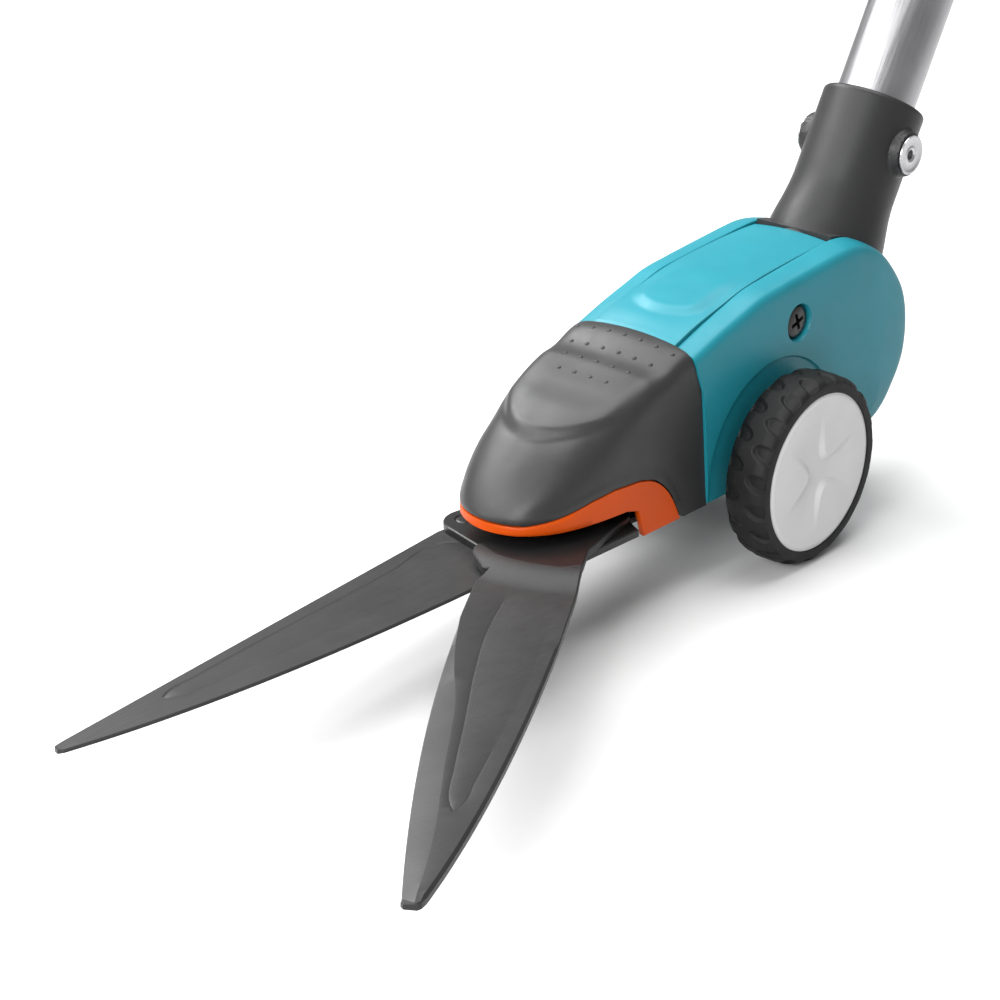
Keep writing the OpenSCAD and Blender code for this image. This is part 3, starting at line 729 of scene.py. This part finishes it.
def nose_dots(name):
    """Rows of fine raised grip dots behind the pad."""
    parts = []
    for row in range(4):
        y, count = -42.3 - 6.1 * row, 7 - row
        for k in range(count):
            x = (k - (count - 1) / 2) * 5.8
            z = float(nose_top(np.array([x]), np.array([y]))[0])
            parts.append(lathe("dot", [(r, z + h) for r, h in DOT], z_place(x, y), 14))
    return joined(name, parts)


present(nose_dots("nose_dots"), dark, "dark_plastic", "head", sharp=70)


def nose_trim(name):
    """The coloured band: the nose's plan outline, from its low edge to the cover."""
    tip_start = asin((NOSE_Y0 + 90.4) / NOSE_LEN)
    tip = NOSE_Y0 - NOSE_LEN * np.sin(np.linspace(tip_start, pi / 2, 40))
    ys = np.concatenate([np.linspace(-43.2, -58.8, 34), np.linspace(-59.0, -66, 44),
                         np.linspace(-67, -90, 30), tip])
    rings = []
    for side, order in ((1, ys), (-1, ys[::-1][1:])):
        for y in order:
            width = float(by_roundness(NOSE_W, y))
            yi = y + BAND_WALL * smoothstep((NOSE_Y0 - y) / NOSE_LEN)
            wi = width * (1 - BAND_WALL / NOSE_HALF)
            low = float(lookup(TRIM_LOW, y))
            high = max(float(lookup(NOSE_EDGE, y)) - 0.35, low + 0.05)
            bulge, tall = 0.25 * min(1, width / 8), high - low
            band = [(width - 0.25, y, low), (width + bulge * 0.6, y, low + min(0.3, tall * 0.2)),
                    (width + bulge, y, low + 0.35 * tall), (width + bulge * 0.8, y, low + 0.7 * tall),
                    (width + bulge * 0.4, y, high - min(0.25, tall * 0.2)), (width - 0.3, y, high),
                    (wi, yi, high), (wi, yi, low)]
            rings.append([(side * max(x, 0), yy, z) for x, yy, z in band])
    return loft(name, rings)


present(nose_trim("nose_band"), orange, "orange_plastic", "head", "nose_trim", sharp=50)

# ---- blades ----


RIVETS = [(-17, -91), (-9, -76), (2, -86)]
PANEL_LINE = 0.6  # half width of the pressed lines
JOGGLE_R, JOGGLE_W = 41.9, 12.5  # where the upper blade steps down, from its pivot
NOSE_SHADE_R = 40.2  # painted shade: within this reach of the pivot the root is drawn black, standing in for the nose's shade
GRIND_Y, GRIND_DEPTH = -74, 1.35
RIVET_SINK_R = 3.1


def blade_bevel(flat, edge, line, on_edge_side, depth):
    """How far the surface drops from a ground line to the cutting edge."""
    de, dl = distance(flat, edge), distance(flat, line)
    return np.where(on_edge_side, depth * dl / np.maximum(de + dl, 1e-6), 0)


def groove(flat, line, width, depth, weights):
    """A fine pressed line whose depth follows weights along it."""
    line = np.array(line)
    d = distance(flat, line)
    near = np.argmin(np.linalg.norm(flat[:, None] - line[None], axis=2), axis=1)
    return depth * np.array(weights)[near] * np.clip(1 - d / width, 0, 1)


def fading(count, start, fall, at):
    """Weights along a line: none at its ends, and less by the share fall after at."""
    t = np.linspace(0, 1, count)
    return smoothstep(t / start) * (1 - fall * smoothstep((t - at) / 0.2)) * smoothstep((1 - t) / 0.1)


def beside(line, d):
    """The open line moved sideways by d."""
    line = np.array(line)
    run = np.gradient(line, axis=0)
    run /= np.linalg.norm(run, axis=1)[:, None]
    return line + d * np.column_stack([-run[:, 1], run[:, 0]])


def panel_curves(outline, rim, panel, grind):
    """The lines along which a blade's sheet is creased."""
    return [(inward(outline, rim), True), (grind, False), (panel, False), (beside(panel, PANEL_LINE), False),
            (beside(panel, -PANEL_LINE), False)]


def upper_blade(name):
    """The blade, drawn along -Y from its pivot, and the peg that drives it."""
    left = bez([(-21.6, -50), (-20.6, -90), (-16.5, -140), (-3.2, -201)], 40)
    right = bez([(2.2, -200.4), (8.4, -160), (9, -90), (5.6, -41)], 40)
    half_way = OPEN - (OPEN - LOWER) / 2
    pin = turned((-PEG_ARM * cos(half_way), -PEG_ARM * sin(half_way)), -OPEN)
    lobe = [(pin[0] + u, pin[1] + v) for u, v in ((1, 5.2), (-4, 3.6), (-5.2, -1), (-2.5, -5))]
    root = soften([(5.6, -41), (5.2, -30), (12.4, -6), (11.5, 5), (4, 12), (-7, 10)] + lobe
                  + [(-14, -12), (-25.6, -33), (-25.6, -36.8), (-20.9, -44.2)], 1.6)
    tip = [(-3.0, -202.6), (-2.2, -203.5), (0.8, -203.3), (1.6, -202.4)]
    outline = left + tip + right + [tuple(p) for p in root]
    outline = [p for i, p in enumerate(outline) if dist(p, outline[i - 1]) > 0.05]
    grind = flowing([(-20.4, -74), (-18.2, -88), (-15.2, -102), (-11.8, -115), (-8.6, -134.5), (-6.6, -148.3),
                     (-4.4, -161.7), (-2.4, -174), (-1.0, -186.5), (0.2, -203.4)], 4)
    panel = flowing([(-11.0, -52), (-11.8, -63), (-12, -81), (-10.2, -101.7), (-6.8, -127.4), (-4.5, -146.5),
                     (-1.6, -163.4), (-0.2, -166.2), (1.2, -163.2), (1.7, -153.4), (2.4, -137.8),
                     (3.4, -114.8), (3.6, -90), (2.6, -62)], 2.5)
    weight = fading(len(panel), 0.06, 0.75, 0.55)

    def grind_x(y):
        return np.interp(y, grind[::-1, 1], grind[::-1, 0])

    def joggle(flat):
        out = np.linalg.norm(flat, axis=1)
        return (ROOT_Z - PLATE_Z) * (1 - smoothstep((out - JOGGLE_R) / JOGGLE_W))

    def top(flat):
        x, y = flat.T
        z = PLATE_Z + STEEL + joggle(flat)
        rim = np.where((x > -0.5) & (y < -80), 0.75, 0.3)
        z = z - 0.9 * rim * np.clip(1 - distance(flat, outline, True) / rim, 0, 1)
        z = z - blade_bevel(flat, left, grind, (x < grind_x(y) - 0.01) & (y < GRIND_Y), GRIND_DEPTH)
        return z - groove(flat, panel, PANEL_LINE, 0.18, weight)

    def bottom(flat):
        return PLATE_Z + joggle(flat)

    curves = panel_curves(outline, 0.3, panel, grind) + [(beside(right[:30], 0.75), False)]
    for r in np.linspace(JOGGLE_R, JOGGLE_R + JOGGLE_W, 12):
        curves.append((arc((0, 0), r, 235, 285, 30), False))
    own = z_place(*PIVOT, OPEN)
    blade = plate(name, [outline, ring((0, 0), PIVOT_HOLE_R)], curves, top, bottom, own)
    for material in (coated, ground, black):
        blade.data.materials.append(material)
    back = Matrix.Rotation(-OPEN, 4, "Z") @ Matrix.Translation((-PIVOT[0] * MM, -PIVOT[1] * MM, 0))
    for face in blade.data.polygons:
        p = back @ face.center / MM
        # painted shade: root faces near the pivot take the black steel, standing in for the nose's shade on
        # the blade
        if hypot(p.x, p.y) < NOSE_SHADE_R:
            face.material_index = 2
        if face.normal.z > 0.3 and p.y < GRIND_Y - 0.5 and p.x < grind_x(p.y) - 0.05:
            face.material_index = 1
    foot = ROOT_Z + 0.5
    peg = lathe("peg", [(0, foot), (2.5, foot), (2.5, PEG_TOP - 0.5), (2.0, PEG_TOP), (0, PEG_TOP)],
                z_place(*own(*pin, 0)[:2]), 48)
    return blade, peg


upper, peg = upper_blade("upper_blade_skin")
present(upper, coated, "coated_blade", "blade", "upper_blade", sharp=18)
present(peg, zinc, "zinc_steel", "blade")


def lower_blade(name):
    """The fixed blade, drawn like the upper one; its ground edge is underneath."""
    inner = bez([(7, -22), (11.5, -80), (12.5, -140), (4.2, -183)], 44)
    outline = ([(-23.5, -18), (-9, -8)] + arc((0, 0), 11, 140, -20, 20) + [(7, -14)] + inner
               + [(2.8, -184), (0.8, -183.4), (0.2, -181)]
               + [tuple(p) for p in np.linspace((0.2, -181), (-24.5, -36), 30)[1:]])
    panel = flowing([(-9, -36.5), (-14, -36.8), (-17.6, -39.5), (-18.3, -44.1), (-14.5, -60.9), (-11, -83.7),
                     (-7.0, -114.5), (-3.5, -136.4), (-1.2, -149.0), (0.2, -151.0), (1.6, -148), (2.6, -136),
                     (2.4, -121.8), (2.2, -106.6), (1.6, -87), (-0.4, -64.2), (-2.8, -51.1)], 2.5)
    weight = fading(len(panel), 0.05, 0.7, 0.5)
    rivets = [turned((x - PIVOT[0], y - PIVOT[1]), -LOWER) for x, y in RIVETS]
    loops = [outline, ring((0, 0), PIVOT_HOLE_R)] + [ring(r, RIVET_HOLE_R, 24) for r in rivets]
    grind = beside(inner, -4.2)[::-1]

    def top(flat):
        z = np.full(len(flat), LOW_Z + STEEL)
        z = z - 0.28 * np.clip(1 - distance(flat, outline, True) / 0.3, 0, 1)
        return z - groove(flat, panel, PANEL_LINE, 0.22, weight)

    def bottom(flat):
        x, y = flat.T
        on_edge = (x > np.interp(y, grind[:, 1], grind[:, 0]) + 0.01) & (y < -24)
        return LOW_Z + blade_bevel(flat, inner, grind, on_edge, 1.3)

    curves = panel_curves(outline, 0.3, panel, grind)
    return plate(name, loops, curves, top, bottom, z_place(*PIVOT, LOWER))


present(lower_blade("lower_blade_skin"), coated, "coated_blade", "head", "lower_blade", sharp=18)


def base_plate(name):
    """The dark plate under the nose, sunk round its three rivets."""
    outline = ([(-17, -36), (-17, -58), (-22.5, -71)]
               + arc((-14.8, -90.4), 8.2, 165, 262, 20) + arc(PIVOT, 38.5, -105, -66, 16)
               + [(23.6, -92), (24, -63.5), (17, -60), (17, -36)])
    spots = [(-9.5, -42.5), (9.5, -42.5)] + RIVETS
    holes = [ring(PIVOT, PIVOT_HOLE_R)] + [ring(p, RIVET_HOLE_R, 24) for p in spots]
    curves = [(inward(outline, 0.35), True)] + [(ring(p, RIVET_SINK_R, 32), True) for p in RIVETS]

    def top(flat):
        z = np.full(len(flat), PLATE_Z + STEEL)
        z = z - 0.3 * np.clip(1 - distance(flat, outline, True) / 0.35, 0, 1)
        for p in RIVETS:
            r = np.linalg.norm(flat - np.array(p), axis=1)
            z = z - 0.7 * np.clip((RIVET_SINK_R - r) / (RIVET_SINK_R - RIVET_HOLE_R), 0, 1)
        return z

    return plate(name, [outline] + holes, curves, top, lambda f: np.full(len(f), PLATE_Z), z_place())


present(base_plate("base_plate_skin"), black, "black_steel", "head", "base_plate", sharp=25)


def blade_rivets(name):
    """Flush heads on the base plate, low domes under the lower blade."""
    head, foot = PLATE_Z + STEEL, LOW_Z - 0.6
    profile = [(0, foot), (2.2, foot + 0.05), (3.0, foot + 0.25), (3.2, LOW_Z - 0.05), (1.96, LOW_Z - 0.04)]
    for r, down in ((1.96, 0.7), (2.5, 0.45), (2.6, 0.3), (2.2, 0.1), (1.2, 0.03), (0, 0.02)):
        profile.append((r, head - down))
    return joined(name, [lathe("rivet", profile, z_place(*p), 40) for p in RIVETS])


present(blade_rivets("blade_rivets_skin"), black, "black_steel", "head", "blade_rivets")

# ---- wheels ----

TREAD_CUTS, CUT_STEPS = 20, 22
LEAF_LONG, LEAF_HALF, LEAF_DEPTH, LEAF_LEAN = 6.1, 2.7, 1.45, 0.22
CAP_R, CAP_BACK = 24.15, FACE_X - 2.7
STAR_DEPTH, STAR_R = 1.25, 17
PETALS, PETAL_AIM = 3, 58
PETAL_NOSE, PETAL_IN, PETAL_FLARE, PETAL_SLOPE = 8, 3.1, 1.75, 2.4


def on_wheel(h, r, a):
    return h, r * cos(a), WHEEL_R + r * sin(a)


def tyre(name):
    """Moulded tyre: leaf-shaped cuts run in from both shoulders, set half a pitch apart."""
    face = [(24.2, 2.4), (24.2, 0.35), (24.35, 0.22), (24.7, 0.2), (26.4, 0.2), (27.0, 0.3), (27.5, 0.55),
            (27.9, 0.9), (28.2, 1.3), (28.5, 1.9), (28.75, 2.6), (28.9, 3.3)]
    mid = [(29.0, x) for x in np.linspace(4, 10.4, 15)]
    back = [(28.9, 11.1), (28.75, 11.8), (28.5, 12.5), (28.2, 13.1), (27.8, 13.6), (27.2, 14.1),
            (26.6, 14.35), (25, 14.25), (20.8, 13.4), (20.8, 2.4)]
    rows = face + mid + back
    profile = []
    for (r0, x0), (r1, x1) in zip(rows, rows[1:]):
        parts = 2 if min(r0, r1) > 27.4 else 1
        profile += [(r0 + (r1 - r0) * k / parts, x0 + (x1 - x0) * k / parts) for k in range(parts)]
    profile.append(rows[-1])
    r, x = np.array(profile).T
    rings = []
    for a in turns(TREAD_CUTS * CUT_STEPS):
        depth = np.zeros_like(r)
        for reach, phase in ((x, 0.0), (TYRE_W - x, 0.5)):
            turn = (a / (2 * pi) * TREAD_CUTS + phase) % 1 - 0.5
            s = turn * 2 * pi * WHEEL_R / TREAD_CUTS - LEAF_LEAN * (reach - 3) * (1 if phase else -1)
            e = np.sqrt(((reach - 0.6) / LEAF_LONG) ** 2 + (s / LEAF_HALF) ** 2)
            cut = smoothstep((1 - e) * 5.2) * (0.7 + 0.3 * np.clip(s / LEAF_HALF, -1, 1))
            depth = np.maximum(depth, LEAF_DEPTH * cut * smoothstep((r - 26.9) / 0.9))
        rings.append([on_wheel(FACE_X - xi, ri, a) for ri, xi in zip(r - depth, x)])
    return loft(name, rings, loop=True)


def hub_cap(name):
    """Pale cap with three raised petals that rise out of a sunk three-armed star."""
    rs = np.concatenate([np.linspace(0, 22.4, 75), [22.8, 23.3, 23.7, 23.95, 24.1, CAP_R]])
    rings = []
    for a in turns(360):
        y, z = rs * cos(a), rs * sin(a)
        height = FACE_X - 0.02 - 0.0002 * rs**2 - 0.45 * smoothstep((rs - 22.4) / 1.75) ** 2
        raised = np.zeros_like(rs)
        for petal in range(PETALS):
            b = radians(PETAL_AIM + 360 / PETALS * petal)
            p, q = turned((y, z), -b)
            wall = np.sqrt(PETAL_NOSE**2 + (PETAL_FLARE * q) ** 2)
            e = (p + PETAL_IN - wall) / np.sqrt(1 + (PETAL_FLARE**2 * q / wall) ** 2)
            raised = np.maximum(raised, smoothstep(e / PETAL_SLOPE + 0.5))
        height = height - STAR_DEPTH * (1 - raised) * smoothstep(1 - (rs - 3) / STAR_R)
        rings.append([on_wheel(h, r, a) for h, r in zip(height, rs)]
                     + [on_wheel(CAP_BACK, r, a) for r in (CAP_R, 22.9, 20, 0)])
    return loft(name, rings, around=False, loop=True)


present_both(tyre("right_tyre_skin"), tyre_rubber, "tyre", "right_wheel", "right_tyre", 60)
present_both(hub_cap("right_cap_skin"), pale, "pale_plastic", "right_wheel", "right_hub_cap", 60)

# ---- screws and rivets on the sides ----


SLOT_TURN = 0.35


def cross_screw(name, place, r, base, height, width):
    """Pan head with a cross recess."""
    h = base + height
    stem = [(0, base - 6), (0.45 * r, base - 6), (0.45 * r, base), (r, base)]
    dome = [(k * r, h - d * height) for k, d in ((1, 0.5), (0.93, 0.22), (0.72, 0.06), (0.3, 0), (0, 0))]
    head = lathe(name, stem + dome, place, 64)
    reach, half = 0.62 * r, width / 2
    for turn in (SLOT_TURN, SLOT_TURN + pi / 2):
        corners = [turned(p, turn) for p in ((-reach, -half), (reach, -half), (reach, half), (-reach, half))]
        ends = ((h - 0.75 * height, 0.7), (h + 1, 1.1))
        combine(head, loft("slot", [[place(u * k, v * k, z) for u, v in corners] for z, k in ends]))
    return head


side_screws = [cross_screw("screw", x_place(side, *SCREW), 4.9, 20.45, 2.1, 1.35) for side in (1, -1)]
for screw in side_screws:
    face_outward(screw.data)
present(joined("side_screws_skin", side_screws), black, "black_steel", "head", "side_screws")


def tube_rivet(side):
    """Hollow rivet head: rolled rim, dished face and a dimpled middle."""
    profile = [(1.5, 16.6), (1.5, 18.7), (1.75, 18.95), (2.3, 19.1), (2.7, 18.95), (3.2, 18.92), (4.3, 19.0),
               (5.0, 19.1), (5.5, 19.3), (5.9, 19.25), (6.05, 18.95), (5.95, 18.6), (5.6, BOSS_X),
               (2.4, BOSS_X), (2.4, 16.6)]
    return lathe("rivet", profile, lambda u, v, h: tube_place(side * h, u, RIVET_S + v), 64, closed=True)


present(joined("socket_rivets_skin", [tube_rivet(1), tube_rivet(-1)]), rivet_metal, "zinc_steel", "head",
        "socket_rivets")

# ---- socket and tube ----

MOUTH_S, MOUTH_R = 103.35, 1.55  # the sleeve's upper end, and how round it is
BOSS_R = 6.6
SLEEVE_BORE = [(13.2, MOUTH_S), (12.8, 103.2), (12.56, 102.9), (12.56, 50)]


def socket_sleeve(name):
    """The moulded socket: flared foot, rounded mouth, a flat boss on each side for its rivet."""
    ss = np.concatenate([np.linspace(50, 78, 36), np.linspace(78.6, 101.6, 52),
                         [102.1, 102.5, 102.85, 103.1, 103.3, MOUTH_S]])
    flare = 16.25 + 2.45 * (1 - smoothstep((ss - 54) / 22)) ** 1.2
    round_off = np.clip(ss - (MOUTH_S - MOUTH_R), 0, MOUTH_R)
    plain = flare - (MOUTH_R - np.sqrt(np.maximum(MOUTH_R**2 - round_off**2, 0)))
    rings = []
    for a in turns(220):
        face = BOSS_X / max(abs(cos(a)), 0.2)
        out = np.hypot(ss - RIVET_S, face * sin(a))
        lift = (1 - smoothstep((out - BOSS_R) / 1.1)) * (abs(cos(a)) > 0.7)
        rows = list(zip(plain + np.maximum(face - plain, 0) * lift, ss)) + SLEEVE_BORE
        rings.append([tube_place(r * cos(a), r * sin(a), s) for r, s in rows])
    return loft(name, rings, loop=True)


present(socket_sleeve("socket_sleeve"), sleeve_dark, "dark_plastic", "head", sharp=50)

tube_profile = [(12.2, 64), (TUBE_R, 64.3), (TUBE_R, 250), (TUBE_R, 450), (TUBE_R, 650), (TUBE_R, 889.7),
                (12.2, TUBE_END), (11.5, TUBE_END), (11.3, 889.8), (11.3, 64.2), (11.5, 64)]
present(lathe("tube_skin", tube_profile, tube_place, 128, closed=True), aluminium, "tube_aluminium", "head",
        "main_tube")

# ---- handle ----

HANDLE_SCREWS = [on_grip(56, 0), on_grip(112, 0)]
HANDLE = ([tube_yz(848, 16.6), tube_yz(893, 16.6), (499, 803), (505, 812), (506, 846), (513, 855.6),
           on_grip(60, -16.4), on_grip(100, -15)]
          + arc(on_grip(GRIP_LEN, 0), GRIP_R, 25 - 90, 25 + 90, 16) + [on_grip(14, GRIP_R)]
          + arc(LEVER_C, 17, 95, 215, 12) + [tube_yz(880, -16.6), tube_yz(848, -16.6)])
ROOM = ([tube_yz(890.5, 11), tube_yz(897, 14), (497, 808), (520, 808), (520, 852), (508, 852),
         on_grip(30, -9), on_grip(12, 9)] + arc(LEVER_C, 13, 85, 215, 10) + [tube_yz(890.5, -11)])


def handle_half(name):
    section = [(0.09, 0.35), (0.3, 0.08), (0.7, 0), (6, 0), (9, 0.12), (11, 0.5), (12.3, 1.0), (13.3, 1.7),
               (14.1, 2.5), (14.6, 3.2), (14.9, 3.9)]
    half = pillow(name, soften(HANDLE, 9), section)
    cuts = [prism("room", ROOM, -1, 9.4),
            lathe("bore", [(0, 830), (TUBE_R + 0.03, 830), (TUBE_R + 0.03, 890.5), (0, 890.5)], tube_place),
            prism("lock", [on_grip(0.6, 6), on_grip(14.8, 6), on_grip(14.8, 24), on_grip(0.6, 24)], -1, 2.3)]
    recess = [(0, 12.4), (3.3, 12.4), (3.3, 14.4), (4.0, 16), (0, 16)]
    cuts += [lathe("recess", recess, x_place(1, *p), 48) for p in HANDLE_SCREWS]
    return combine(half, *cuts)


present_both(handle_half("right_handle_skin"), teal, "teal_plastic", "head", "right_handle_half", 30)

handle_screws = [cross_screw("screw", x_place(1, *p), 3.0, 12.45, 1.7, 0.9) for p in HANDLE_SCREWS]
present(joined("handle_screws_skin", handle_screws), black, "black_steel", "head", "handle_screws")


def grip_pad(name):
    """Soft strip with cross ribs along the back of the grip."""
    ridge = [(36, 17.0)]
    for t in range(40, 124, 4):
        ridge += [(t - 1.4, 17.25), (t - 0.9, 17.85), (t + 0.9, 17.85), (t + 1.4, 17.25)]
    ridge += [(124.5, 17.0), (127, 15.02)]
    outline = [on_grip(34, 15.02)] + [on_grip(t, up) for t, up in ridge]
    return bevelled(prism(name, outline, -9, 9), 0.35, 2, 30)


present(grip_pad("grip_pad_skin"), soft, "soft_grip", "head", "grip_pad")


def squeeze_lever(name):
    """A flat web round its pin that grows into a rounded finger bar, forked for the rod."""
    knee = turned((33, 0), radians(-38))

    def here(points):
        return [(LEVER_C[0] + p[0], LEVER_C[1] + p[1]) for p in points]

    web = soften(arc((0, 0), 9, 200, 90, 10) + [(30, -9), (64, -9.5), (66, -22), (34, -27)]
                 + arc(knee, 7.5, -40, -130, 6) + [(-2, -9)], 3)
    finger = soften([(56, -9.4)] + bez([(64, -9.5), (90, -8), (120, -10), (146, 1)], 16)
                    + arc((146, -5.5), 6.5, 84, -80, 14)
                    + bez([(146, -12.2), (118, -23), (90, -21), (56, -23)], 16), 4)
    lever = pillow(name, here(web), rounded_section(7.2, 1.0))
    combine(lever, pillow("finger", here(finger), rounded_section(10, 3.4, 6)), how="UNION")
    fork = prism("fork", here([(-12, 12), (6, 12), (44, -8), (44, -30), (10, -30), (-12, -12)]), -3.1, 3.1)
    bore = lathe("bore", [(0, -20), (3.06, -20), (3.06, 20), (0, 20)], x_place(1, *LEVER_C), 48)
    return combine(lever, fork, bore)


present(squeeze_lever("squeeze_lever_skin"), orange, "orange_plastic", "lever", "squeeze_lever")


def lock_slide(name):
    """A ribbed thumb pad with a tongue that reaches into the grip."""
    pad = [on_grip(t, up) for t, up in (
        (-3, 15.2), (13, 15.2), (13, 16.6), (11.6, 18.4), (10, 19), (8.6, 18.4), (7.4, 17.7), (6.6, 18.2),
        (5.8, 17.5), (5, 18.0), (4.2, 17.5), (3.4, 18.2), (2.6, 17.7), (1.4, 18.4), (0, 19), (-1.6, 18.4),
        (-3, 16.6))]
    tongue = [on_grip(t, up) for t, up in ((2, 10.6), (8, 10.6), (8, 15.5), (2, 15.5))]
    slide = bevelled(prism(name, pad, -6, 6), 0.4, 2, 30)
    return combine(slide, prism("tongue", tongue, -2, 2), how="UNION")


present(lock_slide("lock_slide_skin"), orange, "orange_plastic", "lock", "lock_slide")


def hanging_eye(name):
    """Flat eye with rounded edges, its neck held between the handle halves."""
    centre, hole_r, edge = (GRIP_LEN + 22, 0), 4.5, 1.1
    near, far = GRIP_LEN - 9.8, GRIP_LEN + 13.5
    outline = [(near, -5.8), (far, -5.8)] + arc(centre, 9, -140, 140, 48) + [(far, 5.8), (near, 5.8)]
    hole = ring(centre, hole_r, 48)
    curves = [(inward(outline, d), True) for d in (0.25, 0.6, edge)]
    curves += [(ring(centre, hole_r + d, 48), True) for d in (0.25, 0.6)]

    def half(flat):
        d = np.minimum(distance(flat, outline, True), distance(flat, hole, True) * 1.6)
        return 3 - edge * (1 - np.sqrt(1 - (1 - np.clip(d / edge, 0, 1)) ** 2))

    def place(u, v, h):
        return (h, *on_grip(u, v))

    return plate(name, [outline, hole], curves, half, lambda f: -half(f), place)


present(hanging_eye("hanging_eye_skin"), black, "black_steel", "head", "hanging_eye")

# ---- the solid model's own pieces that stay in view ----

KEPT = {
    dark: ["chassis", "spring_plug"],
    black: ["plate_screws", "pivot_bolt"],
    zinc: ["pivot_washer", "pivot_nut", "drive_slider", "bell_crank", "crank_pin", "clevis_pin",
           "pull_rod", "rod_clevis", "wheel_axle", "axle_washers", "axle_clips", "return_spring", "lever_pin",
           "link_pin"],
    pale: ["right_hub", "left_hub"],
}
for material, names in KEPT.items():
    for name in names:
        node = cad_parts[name]
        if not node.material_slots:
            node.data.materials.append(material)
        for held in node.material_slots:
            held.material = material

# ---- floor, light and camera ----

FLOOR = 6.0
floor_mesh = bpy.data.meshes.new("floor")
corners = [(-FLOOR, -FLOOR, 0), (FLOOR, -FLOOR, 0), (FLOOR, FLOOR, 0), (-FLOOR, FLOOR, 0)]
floor_mesh.from_pydata(corners, [], [(0, 1, 2, 3)])
floor = placed(bpy.data.objects.new("floor", floor_mesh))
floor.location.z = -0.0003
paper = Nodes("paper")
mottle = paper.tint(paper.noise(40, 2), grey(0.585), grey(0.6))
paper.link(mottle, paper.shader.inputs["Base Color"])
paper.shader.inputs["Roughness"].default_value = 0.9
paper.bump((paper.noise(700, 2), 0.02))
floor_mesh.materials.append(paper.material)


AIM = (0.0, -0.06, 0.05)  # metres: between the wheels and the blades
for name, spot, size, energy in (("key", (-0.50, -1.20, 0.85), (1.5, 0.6), 23),
                                 ("side", (-1.0, -0.10, 0.93), (1.1, 0.5), 21),
                                 ("top", (-0.2, 0.1, 1.6), (1.4, 1.4), 36),
                                 ("fill", (0.45, -1.50, 0.75), (0.5, 0.5), 20)):
    light = bpy.data.lights.new(name, "AREA")
    light.shape, light.size, light.size_y, light.energy = "RECTANGLE", size[0], size[1], energy
    lamp = placed(bpy.data.objects.new(name, light))
    lamp.location = spot
    lamp.rotation_euler = (Vector(AIM) - Vector(spot)).to_track_quat("-Z", "Y").to_euler()
world = bpy.data.worlds.new("studio")
world.use_nodes = True
sky = world.node_tree.nodes["Background"].inputs
sky["Color"].default_value = (1, 1, 1, 1)
sky["Strength"].default_value = 0.42
bpy.context.scene.world = world
bpy.context.scene.view_settings.view_transform = "Standard"

AZIMUTH, ELEVATION = radians(42.425), radians(23.856)
camera = placed(bpy.data.objects.new("camera", bpy.data.cameras.new("camera")))
camera.data.lens = 86.4
camera.data.sensor_width = 36
camera.data.clip_start = 0.01
camera.location = (0.407545, -0.540846, 0.306372)
camera.rotation_euler = (pi / 2 - ELEVATION, 0, AZIMUTH)
bpy.context.scene.camera = camera
